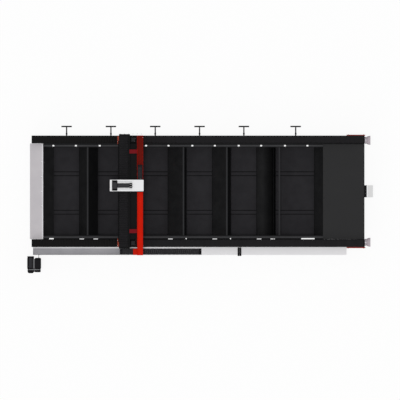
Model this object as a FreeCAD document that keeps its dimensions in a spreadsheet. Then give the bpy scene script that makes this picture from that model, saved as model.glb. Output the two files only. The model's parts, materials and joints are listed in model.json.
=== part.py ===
import FreeCAD, Part

import math
import os
from types import SimpleNamespace

import Sketcher

# Large-format flat-bed fiber laser cutter. Millimetres, +Z up, +X along the bed towards the
# extraction end, +Y towards the slag drawers' pull side. The origin is on the floor under the
# middle of the whole machine's outline.

SIZES = {
    # bed
    "bed_length": 9610,
    "bed_width": 3232,
    "bed_middle_x": -51,
    "bed_middle_y": 238,
    "foot_height": 70,
    "foot_pad": 120,
    "foot_pad_height": 16,
    "foot_screw": 24,
    "right_post_offset": 1054,
    "sill_height": 80,
    "post_height": 290,
    "post_length": 240,
    "beam_width": 225,
    "beam_height": 320,
    "beam_wall": 10,
    "beam_left_overhang": 28,
    "beam_right_overhang": 22,
    "end_frame_width": 180,
    "ledge_width": 115,
    "ledge_drop": 115,
    "ledge_plate": 10,
    "strip_width": 45,
    "strip_height": 5,
    "back_strip_inset": 47,
    "front_strip_inset": 38,
    "ledge_hole_radius": 30,
    "ledge_hole_inset": 69,
    "ledge_hole_start": 605,
    "ledge_hole_pitch": 1343,
    "ledge_hole_spacing": 652,
    "slot_width": 35,
    "slot_length": 130,
    "short_slot_length": 26,
    "long_slot_length": 385,
    "last_slot_gap": 18,
    "rib_plate": 12,
    "rib_flange": 44,
    "rib_depth": 205,
    "rib_1_shift": -33,
    "rib_2_shift": 84,
    "rib_3_shift": 176,
    "rib_4_shift": 148,
    "rib_5_shift": 288,
    "rib_6_offset": 23,
    "hopper_plate": 6,
    "hopper_drawer_gap": 12,
    "hopper_lean": 62,
    "runner_width": 50,
    "runner_height": 22,
    "runner_inset": 20,
    "last_runner_inset": 400,
    # slag drawers
    "first_drawer_offset": 988,
    "last_bay_length": 1485,
    "last_drawer_offset": 1997,
    "drawer_width": 752,
    "last_drawer_width": 1130,
    "last_pull_offset": 18,
    "drawer_height": 150,
    "drawer_back_inset": 112,
    "drawer_front_inset": 104,
    "drawer_sheet": 5,
    "drawer_rib_height": 14,
    "drawer_rib_width": 90,
    "drawer_back_rib": 725,
    "drawer_front_rib": 1842,
    "slide_gap": 1,
    "pull_reach": 263,
    "pull_bar_radius": 17,
    "pull_rod_radius": 15,
    "pull_bar_length": 305,
    "pull_collar_radius": 21,
    "pull_collar_length": 60,
    "pull_height": 82,
    # covers at the two ends
    "left_cover_overhang": 74,
    "left_cover_length": 382,
    "left_cover_top": 700,
    "cover_skirt_bottom": 120,
    "cover_sheet": 4,
    "left_lip_height": 24,
    "left_lip_notch": 24,
    "left_lip_notch_pitch": 430,
    "right_cover_length": 1191,
    "right_cover_top": 700,
    "cover_side_gap": 0.5,
    # guides on the side beams
    "rail_width": 35,
    "rail_height": 36,
    "rail_inset": 40,
    "rail_end_gap": 30,
    "pinion_inset": 105,
    "rack_width": 38,
    "rack_height": 36,
    "pinion_radius": 42,
    "pinion_tooth": 7,
    "pinion_teeth": 20,
    "pinion_width": 30,
    "pinion_gap": 1,
    "shaft_radius": 15,
    # bellows
    "rail_bellows_width": 216,
    "rail_bellows_height": 104,
    "rail_fold_pitch": 145,
    "left_fold_pitch": 80,
    "rail_fold_depth": 10,
    "beam_bellows_width": 264,
    "beam_bellows_inset": 35,
    "beam_bellows_height": 62,
    "beam_fold_pitch": 68,
    "beam_fold_depth": 12,
    "bellows_wall": 3,
    "bellows_gap": 2,
    # right-end fittings
    "collar_neck_radius": 96,
    "collar_mouth_radius": 133,
    "collar_length": 166,
    "collar_offset": 25,
    "collar_neck_length": 60,
    "collar_wall": 4,
    "collar_flange_radius": 108,
    "terminal_width": 350,
    "terminal_base_depth": 76,
    "terminal_neck_depth": 46,
    "terminal_box_depth": 134,
    "terminal_height": 230,
    "terminal_corner": 10,
    "side_plate_length": 544,
    "side_plate_thickness": 42,
    "side_plate_overlap": 40,
    # front cable tray
    "tray_width": 230,
    "tray_sheet": 4,
    "tray_floor_height": 520,
    "tray_depth": 120,
    "tray_flange": 40,
    "tray_start_gap": 13,
    "tray_plate_gap": 2,
    "deep_tray_length": 4886,
    "strap_width": 43,
    "strap_gap": 21,
    "strap_offset": 1048,
    "strap_start": 11,
    "strap_reach": 252,
    "strap_thickness": 26,
    "strap_leg": 170,
    # drag chains
    "long_chain_width": 168,
    "long_chain_height": 60,
    "long_chain_pitch": 60,
    "long_chain_radius": 75,
    "long_chain_offset": 15,
    "long_chain_loop_offset": 127,
    "chain_clip_length": 70,
    "chain_foot_grip": 60,
    "cross_chain_width": 120,
    "cross_chain_height": 44,
    "cross_chain_pitch": 50,
    "cross_chain_radius": 52,
    "cross_chain_clip": 20,
    "cross_chain_reach": 527,
    "cross_chain_tow": 73,
    "cross_chain_gap": 3,
    "chain_wall": 8,
    # gantry
    "gantry_x": -2350,
    "gantry_clearance": 100,
    "gantry_beam_width": 320,
    "gantry_beam_height": 340,
    "gantry_ledge_width": 208,
    "gantry_ledge_drop": 100,
    "gantry_wall": 8,
    "gantry_overhang": 43,
    "gantry_cap": 12,
    "end_plate_length": 697,
    "end_plate_thickness": 24,
    "end_plate_margin": 4,
    "rail_block_height": 84,
    "rail_block_length": 120,
    "rail_block_width": 74,
    "rail_block_inset": 30,
    "rail_gap": 1,
    "shaft_gap": 0.5,
    "skirt_depth": 150,
    "end_cover_length": 44,
    "end_cover_height": 118,
    "end_cover_width": 240,
    "end_cover_inset": 24,
    "end_cover_lift": 6,
    "servo_width": 112,
    "servo_height": 226,
    "servo_corner": 12,
    "servo_connector": 16,
    "gearbox_width": 126,
    "gearbox_height": 118,
    "x_pinion_offset": 412,
    # chain trough on the gantry
    "trough_width": 169,
    "trough_sheet": 5,
    "trough_depth": 180,
    "trough_lift": 226,
    "trough_front_reach": 10,
    "trough_back_setback": 43,
    "foot_plate_length": 287,
    "foot_plate_thickness": 8,
    "foot_plate_gap": 2,
    "bracket_width": 116,
    "bracket_length": 226,
    "bracket_sheet": 12,
    "bracket_inset": 504,
    # guides on the gantry beam
    "y_rail_width": 30,
    "y_rail_height": 26,
    "top_rail_inset": 47,
    "face_rail_height": 120,
    "y_rail_end_gap": 190,
    "y_rack_width": 30,
    "y_pinion_inset": 137,
    "pinion_room": 8,
    "y_pinion_radius": 34,
    "y_pinion_teeth": 16,
    "y_pinion_offset": 90,
    # carriage and head
    "carriage_offset": 168,
    "carriage_width": 348,
    "carriage_length": 989,
    "carriage_front": 272,
    "carriage_sheet": 20,
    "carriage_lift": 76,
    "face_plate_gap": 66,
    "face_plate": 22,
    "face_block_height": 74,
    "y_block_width": 60,
    "y_block_length": 80,
    "y_block_inset": 26,
    "chain_arm_width": 50,
    "cover_height": 236,
    "cover_wall": 4,
    "cover_margin": 10,
    "cover_corner": 14,
    "head_block_length": 153,
    "head_block_width": 280,
    "head_block_inset": 70,
    "head_block_rise": 26,
    "duct_length": 363,
    "duct_width": 128,
    "duct_height": 40,
    "duct_cap": 67,
    "gland_radius": 9,
    "gland_length": 12,
    "small_gearbox_height": 70,
    "small_servo_height": 130,
    "slide_plate": 22,
    "slide_width": 150,
    "slide_height": 380,
    "slide_bottom": 980,
    "z_rail_height": 20,
    "z_rail_width": 22,
    "z_rail_spacing": 55,
    "drive_rise": 210,
    "head_setback": 62,
    "head_above": 90,
    "head_radius": 46,
    "head_waist_radius": 38,
    "head_neck_radius": 22,
    "head_height": 260,
    "head_band": 50,
    "nozzle_radius": 16,
    "nozzle_tip_radius": 5,
    "nozzle_length": 20,
    "nozzle_height": 765,
    # operator console
    "console_offset": 150,
    "console_gap": 38,
    "console_column": 194,
    "console_seam": 20,
    "console_depth": 376,
    "console_top": 1150,
    "console_narrower": 16,
    "console_step": 45,
    "console_foot": 30,
    "console_corner": 14,
    "shelf_corner": 40,
    "shelf_depth": 104,
    "shelf_height": 980,
    "shelf_thickness": 30,
    "display_height": 110,
    "display_thickness": 22,
    "conduit_radius": 11,
    "conduit_place": 0.66,
    "conduit_height": 600,
    "button_radius": 20,
    "button_cap_length": 18,
    "button_stem_radius": 12,
    "button_stem_length": 10,
    "button_drop": 60,
    "button_sink": 6,
    "button_socket": 20,
}


class Size:
    """A length that keeps both its number and the sheet expression it comes from."""

    def __init__(self, number, text):
        self.number = float(number)
        self.text = text

    def _combined(self, other, sign, number, swap=False):
        text = other.text if isinstance(other, Size) else repr(float(other))
        first, second = (text, self.text) if swap else (self.text, text)
        return Size(number, f"({first} {sign} {second})")

    def __add__(self, other):
        return self._combined(other, "+", self.number + float(other))

    def __radd__(self, other):
        return self._combined(other, "+", float(other) + self.number, swap=True)

    def __sub__(self, other):
        return self._combined(other, "-", self.number - float(other))

    def __rsub__(self, other):
        return self._combined(other, "-", float(other) - self.number, swap=True)

    def __mul__(self, other):
        return self._combined(other, "*", self.number * float(other))

    def __rmul__(self, other):
        return self._combined(other, "*", float(other) * self.number, swap=True)

    def __truediv__(self, other):
        return self._combined(other, "/", self.number / float(other))

    def __neg__(self):
        return 0 - self

    def __float__(self):
        return self.number


document = FreeCAD.newDocument("flat_bed_laser_cutter")
sheet = document.addObject("Spreadsheet::Sheet", "Sizes")
for row, (alias, number) in enumerate(SIZES.items(), start=1):
    sheet.set(f"A{row}", alias.replace("_", " "))
    sheet.set(f"B{row}", str(number))
    sheet.setAlias(f"B{row}", alias)
document.recompute()
s = SimpleNamespace(**{alias: Size(number, f"Sizes.{alias}") for alias, number in SIZES.items()})

NODES = {}


def bind(item, name, size):
    """Set a property from a size, tied to the sheet where the size comes from it."""
    if isinstance(size, Size):
        item.setExpression(name, size.text)
    else:
        item.setExpression(name, repr(float(size)))


def place(item, corner):
    for axis, size in zip("xyz", corner):
        bind(item, f"Placement.Base.{axis}", size)
    return item


def keep(label, item):
    """Name an object as one of the machine's pieces."""
    item.Label = label
    NODES[label] = item
    return item


def box(low, high):
    """A block between two corners."""
    item = document.addObject("Part::Box", "block")
    for name, start, end in zip(("Length", "Width", "Height"), low, high):
        bind(item, name, end - start)
    return place(item, low)


TURNS = {
    "X": FreeCAD.Rotation(FreeCAD.Vector(0, 1, 0), 90),
    "Y": FreeCAD.Rotation(FreeCAD.Vector(1, 0, 0), -90),
    "Z": FreeCAD.Rotation(),
}


def rounded_box(low, high, radius):
    """A block whose four upright edges are rounded."""
    item = document.addObject("Part::Fillet", "rounded")
    item.Base = box(low, high)
    item.Edges = [(edge, float(radius), float(radius)) for edge in (1, 3, 5, 7)]
    return item


def cylinder(radius, length, base, axis="Z"):
    item = document.addObject("Part::Cylinder", "round")
    item.Placement = FreeCAD.Placement(FreeCAD.Vector(), TURNS[axis])
    bind(item, "Radius", radius)
    bind(item, "Height", length)
    return place(item, base)


def cone(radius, end_radius, length, base, axis="Z"):
    item = document.addObject("Part::Cone", "cone")
    item.Placement = FreeCAD.Placement(FreeCAD.Vector(), TURNS[axis])
    bind(item, "Radius1", radius)
    bind(item, "Radius2", end_radius)
    bind(item, "Height", length)
    return place(item, base)


def fuse(items):
    item = document.addObject("Part::MultiFuse", "welded")
    item.Shapes = items
    return item


def group(items):
    """Like pieces that share one node stay separate solids."""
    item = document.addObject("Part::Compound", "set")
    item.Links = items
    return item


def cut(base, tools):
    item = document.addObject("Part::Cut", "cut")
    item.Base = base
    item.Tool = tools[0] if len(tools) == 1 else group(tools)
    return item


def draw(body, plane, loops):
    """A sketch of closed loops whose corners are tied to sizes measured from the origin."""
    sketch = body.newObject("Sketcher::SketchObject", "outline")
    support = [item for item in body.Origin.OriginFeatures if item.Role == plane][0]
    sketch.AttachmentSupport = [(support, "")]
    sketch.MapMode = "FlatFace"
    for loop in loops:
        first = sketch.GeometryCount
        count = len(loop)
        spots = [FreeCAD.Vector(float(x), float(y), 0) for x, y in loop]
        for index in range(count):
            sketch.addGeometry(Part.LineSegment(spots[index], spots[(index + 1) % count]))
        for index in range(count):
            follower = first + (index + 1) % count
            sketch.addConstraint(Sketcher.Constraint("Coincident", first + index, 2, follower, 1))
        for index, corner in enumerate(loop):
            for kind, size in zip(("DistanceX", "DistanceY"), corner):
                rule = Sketcher.Constraint(kind, -1, 1, first + index, 1, float(size))
                number = sketch.addConstraint(rule)
                if isinstance(size, Size):
                    sketch.setExpression(f"Constraints[{number}]", size.text)
    return sketch


def prism(plane, loops, length, start):
    """Pad a drawn section: XZ sections run along +Y, YZ sections along +X, XY sections up."""
    body = document.addObject("PartDesign::Body", "section")
    sketch = draw(body, f"{plane}_Plane", loops)
    pad = body.newObject("PartDesign::Pad", "pad")
    pad.Profile = sketch
    bind(pad, "Length", length)
    pad.Reversed = plane == "XZ"
    axis = {"XZ": "y", "YZ": "x", "XY": "z"}[plane]
    bind(body, f"Placement.Base.{axis}", start)
    return body


def revolve(points, base, axis):
    """Turn a (radius, height) section about its own axis."""
    body = document.addObject("PartDesign::Body", "turned")
    sketch = draw(body, "XZ_Plane", [points])
    turn = body.newObject("PartDesign::Revolution", "turn")
    turn.Profile = sketch
    turn.ReferenceAxis = (sketch, ["V_Axis"])
    turn.Angle = 360
    body.Placement = FreeCAD.Placement(FreeCAD.Vector(), TURNS[axis])
    return place(body, base)


def rectangle(low, high):
    return [(low[0], low[1]), (high[0], low[1]), (high[0], high[1]), (low[0], high[1])]


def shape_piece(name, shape):
    item = document.addObject("Part::Feature", name)
    item.Shape = shape
    return item


def numbers(*sizes):
    return [float(size) for size in sizes]

# Bed: levels and faces that the other pieces line up with
bed_left = s.bed_middle_x - s.bed_length / 2
bed_right = s.bed_middle_x + s.bed_length / 2
bed_back = s.bed_middle_y + s.bed_width / 2
bed_front = s.bed_middle_y - s.bed_width / 2
beam_left = bed_left - s.beam_left_overhang
beam_right = bed_right + s.beam_right_overhang
back_inner = bed_back - s.beam_width
front_inner = bed_front + s.beam_width
sill_top = s.foot_height + s.sill_height
post_top = sill_top + s.post_height
beam_top = post_top + s.beam_height
ledge_top = beam_top - s.ledge_drop
ledge_bottom = ledge_top - s.ledge_plate
drawer_bottom = sill_top + s.runner_height + s.slide_gap
drawer_top = drawer_bottom + s.drawer_height
drawer_back = back_inner - s.drawer_back_inset
drawer_front = front_inner + s.drawer_front_inset
cover_right_left = bed_right + s.cover_sheet - s.right_cover_length

first_drawer_x = bed_left + s.first_drawer_offset
last_drawer_x = bed_right - s.last_drawer_offset
drawer_pitch = (last_drawer_x - s.last_bay_length - first_drawer_x) / 4
DRAWERS = [(first_drawer_x + drawer_pitch * index, s.drawer_width) for index in range(5)]
DRAWERS.append((last_drawer_x, s.last_drawer_width))
RIBS = [(DRAWERS[index][0] + DRAWERS[index + 1][0]) / 2 + shift
        for index, shift in enumerate((s.rib_1_shift, s.rib_2_shift, s.rib_3_shift,
                                       s.rib_4_shift, s.rib_5_shift))]
RIBS.append(cover_right_left + s.rib_6_offset)


def drawer_edge(index, side):
    middle, width = DRAWERS[index]
    return middle + width / 2 if side == "right" else middle - width / 2


def frame_posts_x():
    """Left ends of the posts: one at each end of the bed, one between each two drawers."""
    ends = [bed_left]
    for index in range(5):
        gap_middle = (drawer_edge(index, "right") + drawer_edge(index + 1, "left")) / 2
        ends.append(gap_middle - s.post_length / 2)
    ends.append(bed_right - s.right_post_offset - s.post_length / 2)
    ends.append(bed_right - s.post_length)
    return ends


def make_side_beam(label, near, duct_y):
    """A box section along the bed, closed at the left, open to the extraction at the right."""
    far = near + s.beam_width
    outer = rectangle((near, post_top), (far, beam_top))
    wall = s.beam_wall
    inner = rectangle((near + wall, post_top + wall), (far - wall, beam_top - wall))
    tube = prism("YZ", [outer, inner], beam_right - beam_left, beam_left)
    left_cap = box((beam_left, near + wall, post_top + wall),
                   (beam_left + wall, far - wall, beam_top - wall))
    right_cap = box((beam_right - wall, near + wall, post_top + wall),
                    (beam_right, far - wall, beam_top - wall))
    hole = cylinder(s.collar_neck_radius, wall * 2, (beam_right - wall * 1.5, duct_y, duct_z), "X")
    keep(label, cut(fuse([tube, left_cap, right_cap]), [hole]))


def make_posts():
    wall = s.beam_wall
    posts = []
    for near in (back_inner, bed_front):
        for left in frame_posts_x():
            outer = rectangle((left, near), (left + s.post_length, near + s.beam_width))
            inner = rectangle((left + wall, near + wall),
                              (left + s.post_length - wall, near + s.beam_width - wall))
            posts.append(prism("XY", [outer, inner], s.post_height, sill_top))
    keep("frame_posts", group(posts))


def make_sills():
    wall = s.beam_wall
    sills = []
    for near in (back_inner, bed_front):
        outer = rectangle((near, s.foot_height), (near + s.beam_width, sill_top))
        inner = rectangle((near + wall, s.foot_height + wall),
                          (near + s.beam_width - wall, sill_top - wall))
        sills.append(prism("YZ", [outer, inner], s.bed_length, bed_left))
    keep("frame_sills", group(sills))


def make_end_frames():
    wall = s.beam_wall
    top = s.left_cover_top - s.cover_sheet
    frames = []
    for left in (bed_left, bed_right - s.end_frame_width):
        outer = rectangle((left, post_top), (left + s.end_frame_width, top))
        inner = rectangle((left + wall, post_top + wall),
                          (left + s.end_frame_width - wall, top - wall))
        frames.append(prism("XZ", [outer, inner], back_inner - front_inner, front_inner))
    keep("end_frames", group(frames))


def make_feet():
    """A square pad with a jack screw under every post."""
    feet = []
    for near in (back_inner, bed_front):
        for left in frame_posts_x():
            middle_x = left + s.post_length / 2
            middle_y = near + s.beam_width / 2
            pad = box((middle_x - s.foot_pad / 2, middle_y - s.foot_pad / 2, 0),
                      (middle_x + s.foot_pad / 2, middle_y + s.foot_pad / 2, s.foot_pad_height))
            screw = document.addObject("Part::Prism", "screw")
            bind(screw, "Circumradius", s.foot_screw)
            bind(screw, "Height", s.foot_height - s.foot_pad_height)
            place(screw, (middle_x, middle_y, s.foot_pad_height))
            feet.append(fuse([pad, screw]))
    keep("levelling_feet", group(feet))


def make_ribs():
    """Cross plates between the bays, each with a flat flange along its top."""
    ribs = []
    for middle in RIBS:
        flange_bottom = ledge_bottom - s.ledge_plate
        plate = s.rib_plate / 2
        flange = s.rib_flange / 2
        section = [
            (middle - plate, flange_bottom - s.rib_depth),
            (middle + plate, flange_bottom - s.rib_depth),
            (middle + plate, flange_bottom),
            (middle + flange, flange_bottom),
            (middle + flange, ledge_bottom),
            (middle - flange, ledge_bottom),
            (middle - flange, flange_bottom),
            (middle - plate, flange_bottom),
        ]
        ribs.append(prism("XZ", [section], back_inner - front_inner, front_inner))
    keep("bay_ribs", group(ribs))


def hopper(bottom_x, top_x, top_z):
    """A sloped plate from above a drawer's edge up to the side of its bay."""
    leaning = s.hopper_plate if float(top_x) > float(bottom_x) else -s.hopper_plate
    bottom_z = drawer_top + s.hopper_drawer_gap
    section = [
        (bottom_x, bottom_z),
        (bottom_x + leaning, bottom_z),
        (top_x, top_z - s.hopper_plate * 2),
        (top_x, top_z),
    ]
    return prism("XZ", [section], drawer_back - drawer_front, drawer_front)


def make_hoppers():
    plate = s.rib_plate / 2
    top_z = ledge_bottom - s.ledge_plate
    apex_x = drawer_edge(5, "left") - s.hopper_lean
    left_tops = [bed_left + s.end_frame_width]
    left_tops += [rib + plate for rib in RIBS[:4]]
    right_tops = [rib - plate for rib in RIBS[:4]]
    sheets = [hopper(drawer_edge(index, "left"), top, top_z)
              for index, top in enumerate(left_tops)]
    sheets += [hopper(drawer_edge(index, "right"), top, top_z)
               for index, top in enumerate(right_tops)]
    sheets.append(hopper(drawer_edge(5, "right"), RIBS[5] - plate, top_z))
    sheets.append(hopper(drawer_edge(4, "right"), apex_x, top_z))
    sheets.append(hopper(drawer_edge(5, "left"), apex_x, top_z))
    sheets.append(box((apex_x - plate, front_inner, top_z),
                      (apex_x + plate, back_inner, ledge_bottom)))
    keep("hopper_plates", group(sheets))


def make_runners():
    """Two flat bars under each drawer, from sill to sill."""
    bars = []
    for index in range(6):
        inset = s.last_runner_inset if index == 5 else s.runner_inset
        left = drawer_edge(index, "left") + s.runner_inset
        right = drawer_edge(index, "right") - inset - s.runner_width
        for start in (left, right):
            bars.append(box((start, bed_front, sill_top),
                            (start + s.runner_width, bed_back, sill_top + s.runner_height)))
    keep("drawer_runners", group(bars))


def make_ledges():
    """Slat ledges along both beams: the back one has round holes, the front one slots."""
    left = bed_left + s.end_frame_width
    right = cover_right_left

    back_plate = box((left, back_inner - s.ledge_width, ledge_bottom),
                     (right, back_inner, ledge_top))
    strip_far = back_inner - s.back_strip_inset
    back_strip = box((left, strip_far - s.strip_width, ledge_top),
                     (right, strip_far, ledge_top + s.strip_height))
    holes = []
    for pair in range(6):
        for step in range(2):
            x = left - s.end_frame_width + s.ledge_hole_start
            x = x + s.ledge_hole_pitch * pair + s.ledge_hole_spacing * step
            holes.append(cylinder(s.ledge_hole_radius, s.ledge_plate * 4,
                                  (x, back_inner - s.ledge_hole_inset,
                                   ledge_bottom - s.ledge_plate)))
    keep("ledge_back", cut(fuse([back_plate, back_strip]), holes))

    front_plate = box((left, front_inner, ledge_bottom),
                      (right, front_inner + s.ledge_width, ledge_top))
    strip_near = front_inner + s.front_strip_inset
    front_strip = box((left, strip_near, ledge_top),
                      (right, strip_near + s.strip_width, ledge_top + s.strip_height))
    full, short, long = s.slot_length, s.short_slot_length, s.long_slot_length
    slots = []
    for index, side, length in ((0, "left", full), (0, "right", full), (1, "left", full),
                                (2, "right", full), (3, "left", short), (3, "right", full),
                                (4, "left", short), (4, "right", full), (5, "left", full)):
        edge = drawer_edge(index, side) - (s.last_slot_gap if index == 5 else 0)
        start = edge if side == "right" else edge - length
        slots.append((start, start + length))
    slots.append((drawer_edge(5, "right") - long, drawer_edge(5, "right")))
    cutters = [box((start, front_inner, ledge_bottom - s.ledge_plate),
                   (end, front_inner + s.slot_width, ledge_top + s.ledge_plate))
               for start, end in slots]
    keep("ledge_front", cut(fuse([front_plate, front_strip]), cutters))


def make_end_covers():
    """Folded covers over the two end frames."""
    near = front_inner + s.cover_side_gap
    width = back_inner - front_inner - s.cover_side_gap * 2
    thick = s.cover_sheet

    left = bed_left - s.left_cover_overhang
    right = left + s.left_cover_length
    top = s.left_cover_top
    lip_top = top + s.left_lip_height
    section = [
        (left, s.cover_skirt_bottom),
        (left + thick, s.cover_skirt_bottom),
        (left + thick, top - thick),
        (right, top - thick),
        (right, lip_top),
        (right - thick, lip_top),
        (right - thick, top),
        (left, top),
    ]
    panel = prism("XZ", [section], width, near)
    notches = []
    for step in (-2, -1, 0, 1):
        middle = s.bed_middle_y + s.left_lip_notch_pitch * (step + 1)
        notches.append(box((right - thick * 2, middle - s.left_lip_notch / 2, top),
                           (right + thick, middle + s.left_lip_notch / 2,
                            lip_top + thick)))
    keep("end_panel_left", cut(panel, notches))

    left = cover_right_left
    right = bed_right + thick
    top = s.right_cover_top
    section = [
        (right - thick, s.cover_skirt_bottom),
        (right, s.cover_skirt_bottom),
        (right, top),
        (left, top),
        (left, ledge_bottom),
        (left + thick, ledge_bottom),
        (left + thick, top - thick),
        (right - thick, top - thick),
    ]
    keep("cover_plate_right", prism("XZ", [section], width, near))


def make_collars():
    """Flared sheet collars on the beams' open ends, where the extraction hoses clamp on."""
    wall = s.collar_wall
    neck = s.collar_neck_radius
    mouth = s.collar_mouth_radius
    flare = s.collar_neck_length
    end = s.collar_length
    outer = [
        (neck - wall, 0),
        (s.collar_flange_radius, 0),
        (s.collar_flange_radius, wall * 2),
        (neck, wall * 2),
        (neck, flare),
        (mouth, end - wall * 3),
        (mouth, end),
        (mouth - wall, end),
        (mouth - wall, end - wall * 2),
        (neck - wall, flare + wall),
    ]
    collars = [revolve(outer, (beam_right, y, duct_z), "X") for y in (back_duct_y, front_duct_y)]
    keep("extraction_collars", group(collars))


def make_terminal_box():
    near = s.bed_middle_y - s.terminal_width / 2
    far = s.bed_middle_y + s.terminal_width / 2
    low = duct_z - s.terminal_height / 2
    high = duct_z + s.terminal_height / 2
    start = bed_right + s.cover_sheet
    base_end = start + s.terminal_base_depth
    neck_end = base_end + s.terminal_neck_depth
    keep("terminal_bracket", box((start, near, low), (base_end, far, high)))
    neck = box((base_end, near, low), (neck_end, far, high))
    case = rounded_box((neck_end, near, low - s.cover_sheet),
                       (neck_end + s.terminal_box_depth, far, high + s.cover_sheet),
                       s.terminal_corner)
    keep("terminal_box", fuse([neck, case]))


def make_side_plates():
    plates = []
    for near in (bed_back, bed_front - s.side_plate_thickness):
        plates.append(box((bed_right + s.side_plate_overlap - s.side_plate_length, near, post_top),
                          (bed_right + s.side_plate_overlap, near + s.side_plate_thickness,
                           beam_top - s.beam_wall)))
    keep("red_side_plates", group(plates))


duct_z = (post_top + beam_top) / 2
back_duct_y = bed_back - s.beam_width / 2 - s.collar_offset
front_duct_y = bed_front + s.beam_width / 2 + s.collar_offset
make_side_beam("side_beam_back", back_inner, back_duct_y)
make_side_beam("side_beam_front", bed_front, front_duct_y)
make_posts()
make_sills()
make_end_frames()
make_feet()
make_ribs()
make_hoppers()
make_runners()
make_ledges()
make_end_covers()
make_collars()
make_terminal_box()
make_side_plates()


# Slag drawers
def make_drawer(index):
    """An open tray with two floor ribs and a welded T-shaped pull rod."""
    middle = DRAWERS[index][0] + (s.last_pull_offset if index == 5 else 0)
    left = drawer_edge(index, "left")
    right = drawer_edge(index, "right")
    skin = s.drawer_sheet
    shell = box((left, drawer_front, drawer_bottom), (right, drawer_back, drawer_top))
    hollow = box((left + skin, drawer_front + skin, drawer_bottom + skin),
                 (right - skin, drawer_back - skin, drawer_top + skin))
    parts = [cut(shell, [hollow])]
    for start in (s.drawer_back_rib, s.drawer_front_rib):
        far = drawer_back - start
        parts.append(box((left, far - s.drawer_rib_width, drawer_bottom + skin),
                         (right, far, drawer_bottom + skin + s.drawer_rib_height)))
    height = drawer_bottom + s.pull_height
    end = bed_back + s.pull_reach
    parts.append(cylinder(s.pull_rod_radius, end - drawer_back + skin / 2,
                          (middle, drawer_back - skin / 2, height), "Y"))
    parts.append(cylinder(s.pull_collar_radius, s.pull_collar_length,
                          (middle, bed_back, height), "Y"))
    parts.append(cylinder(s.pull_bar_radius, s.pull_bar_length,
                          (middle - s.pull_bar_length / 2, end, height), "X"))
    keep(f"slag_drawer_{index + 1}", fuse(parts))


for number in range(6):
    make_drawer(number)


# Guides on the side beams
def side_strip(inset, width, side):
    """The Y span of something lying on a side beam, measured outwards from its inner face."""
    if side == "back":
        return back_inner + inset, back_inner + inset + width
    return front_inner - inset - width, front_inner - inset


rack_inset = s.pinion_inset + s.pinion_radius + s.pinion_gap
rail_left = beam_left + s.rail_end_gap
rail_right = beam_right - s.rail_end_gap


def make_side_guides():
    rails = []
    racks = []
    for side in ("back", "front"):
        near, far = side_strip(s.rail_inset - s.rail_width / 2, s.rail_width, side)
        rails.append(box((rail_left, near, beam_top), (rail_right, far, beam_top + s.rail_height)))
        near, far = side_strip(rack_inset, s.rack_width, side)
        racks.append(box((rail_left, near, beam_top), (rail_right, far, beam_top + s.rack_height)))
    keep("x_rails", group(rails))
    keep("x_racks", group(racks))


make_side_guides()


# Folded and linked pieces, worked out corner by corner
def facet(*corners):
    loop = [FreeCAD.Vector(*corner) for corner in corners]
    return Part.Face(Part.makePolygon(loop + loop[:1]))


def bellows_outline(half_width, height, wall):
    """Half-tunnel section: outer side, top, outer side, then back along the inner faces."""
    inner = half_width - wall
    return [(-half_width, 0), (-half_width, height), (half_width, height), (half_width, 0),
            (inner, 0), (inner, height - wall), (-inner, height - wall), (-inner, 0)]


def bellows(label, along, start, end, middle, base, width, height, pitch, depth):
    """An accordion cover, open underneath, with whole folds between its two ends."""
    start, end, middle, base, width, height, pitch, depth, wall = numbers(
        start, end, middle, base, width, height, pitch, depth, s.bellows_wall)
    folds = max(2, round((end - start) / pitch))
    step = (end - start) / folds / 2
    ridge = bellows_outline(width / 2, height, wall)
    valley = bellows_outline(width / 2 - depth, height - depth, wall)
    sections = []
    for index in range(folds * 2 + 1):
        outline = ridge if index % 2 == 0 else valley
        distance = start + step * index
        if along == "X":
            sections.append([(distance, middle + side, base + up) for side, up in outline])
        else:
            sections.append([(middle + side, distance, base + up) for side, up in outline])
    faces = [facet(*sections[0]), facet(*sections[-1])]
    for first, second in zip(sections, sections[1:]):
        for corner in range(8):
            following = (corner + 1) % 8
            faces.append(facet(first[corner], first[following],
                               second[following], second[corner]))
    return keep(label, shape_piece("bellows", Part.makeSolid(Part.makeShell(faces))))


def make_rail_bellows():
    gantry_left = s.gantry_x - s.end_cover_length - s.bellows_gap
    gantry_right = s.gantry_x + s.end_plate_length + s.bellows_gap
    for side in ("back", "front"):
        near, far = side_strip(s.beam_width / 2, 0, side)
        bellows(f"rail_bellows_{side}_left", "X", rail_left, gantry_left, near, beam_top,
                s.rail_bellows_width, s.rail_bellows_height, s.left_fold_pitch, s.rail_fold_depth)
        bellows(f"rail_bellows_{side}_right", "X", gantry_right, rail_right, near, beam_top,
                s.rail_bellows_width, s.rail_bellows_height, s.rail_fold_pitch, s.rail_fold_depth)


make_rail_bellows()


def chain_path(start, loop_middle, end, low, radius, pitch):
    """Stations along a drag chain: out on the low run, round the loop, back on the high run."""
    way = 1 if loop_middle > start else -1
    low_run = abs(loop_middle - start)
    high_run = abs(loop_middle - end)
    bend = math.pi * radius
    count = max(8, round((low_run + bend + high_run) / pitch))
    stations = []
    for index in range(count + 1):
        distance = (low_run + bend + high_run) * index / count
        if distance <= low_run:
            stations.append((start + way * distance, low, 0.0))
        elif distance <= low_run + bend:
            turn = (distance - low_run) / radius
            stations.append((loop_middle + way * radius * math.sin(turn),
                             low + radius - radius * math.cos(turn), turn))
        else:
            left = distance - low_run - bend
            stations.append((loop_middle - way * left, low + radius * 2, math.pi))
    return way, stations


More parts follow.
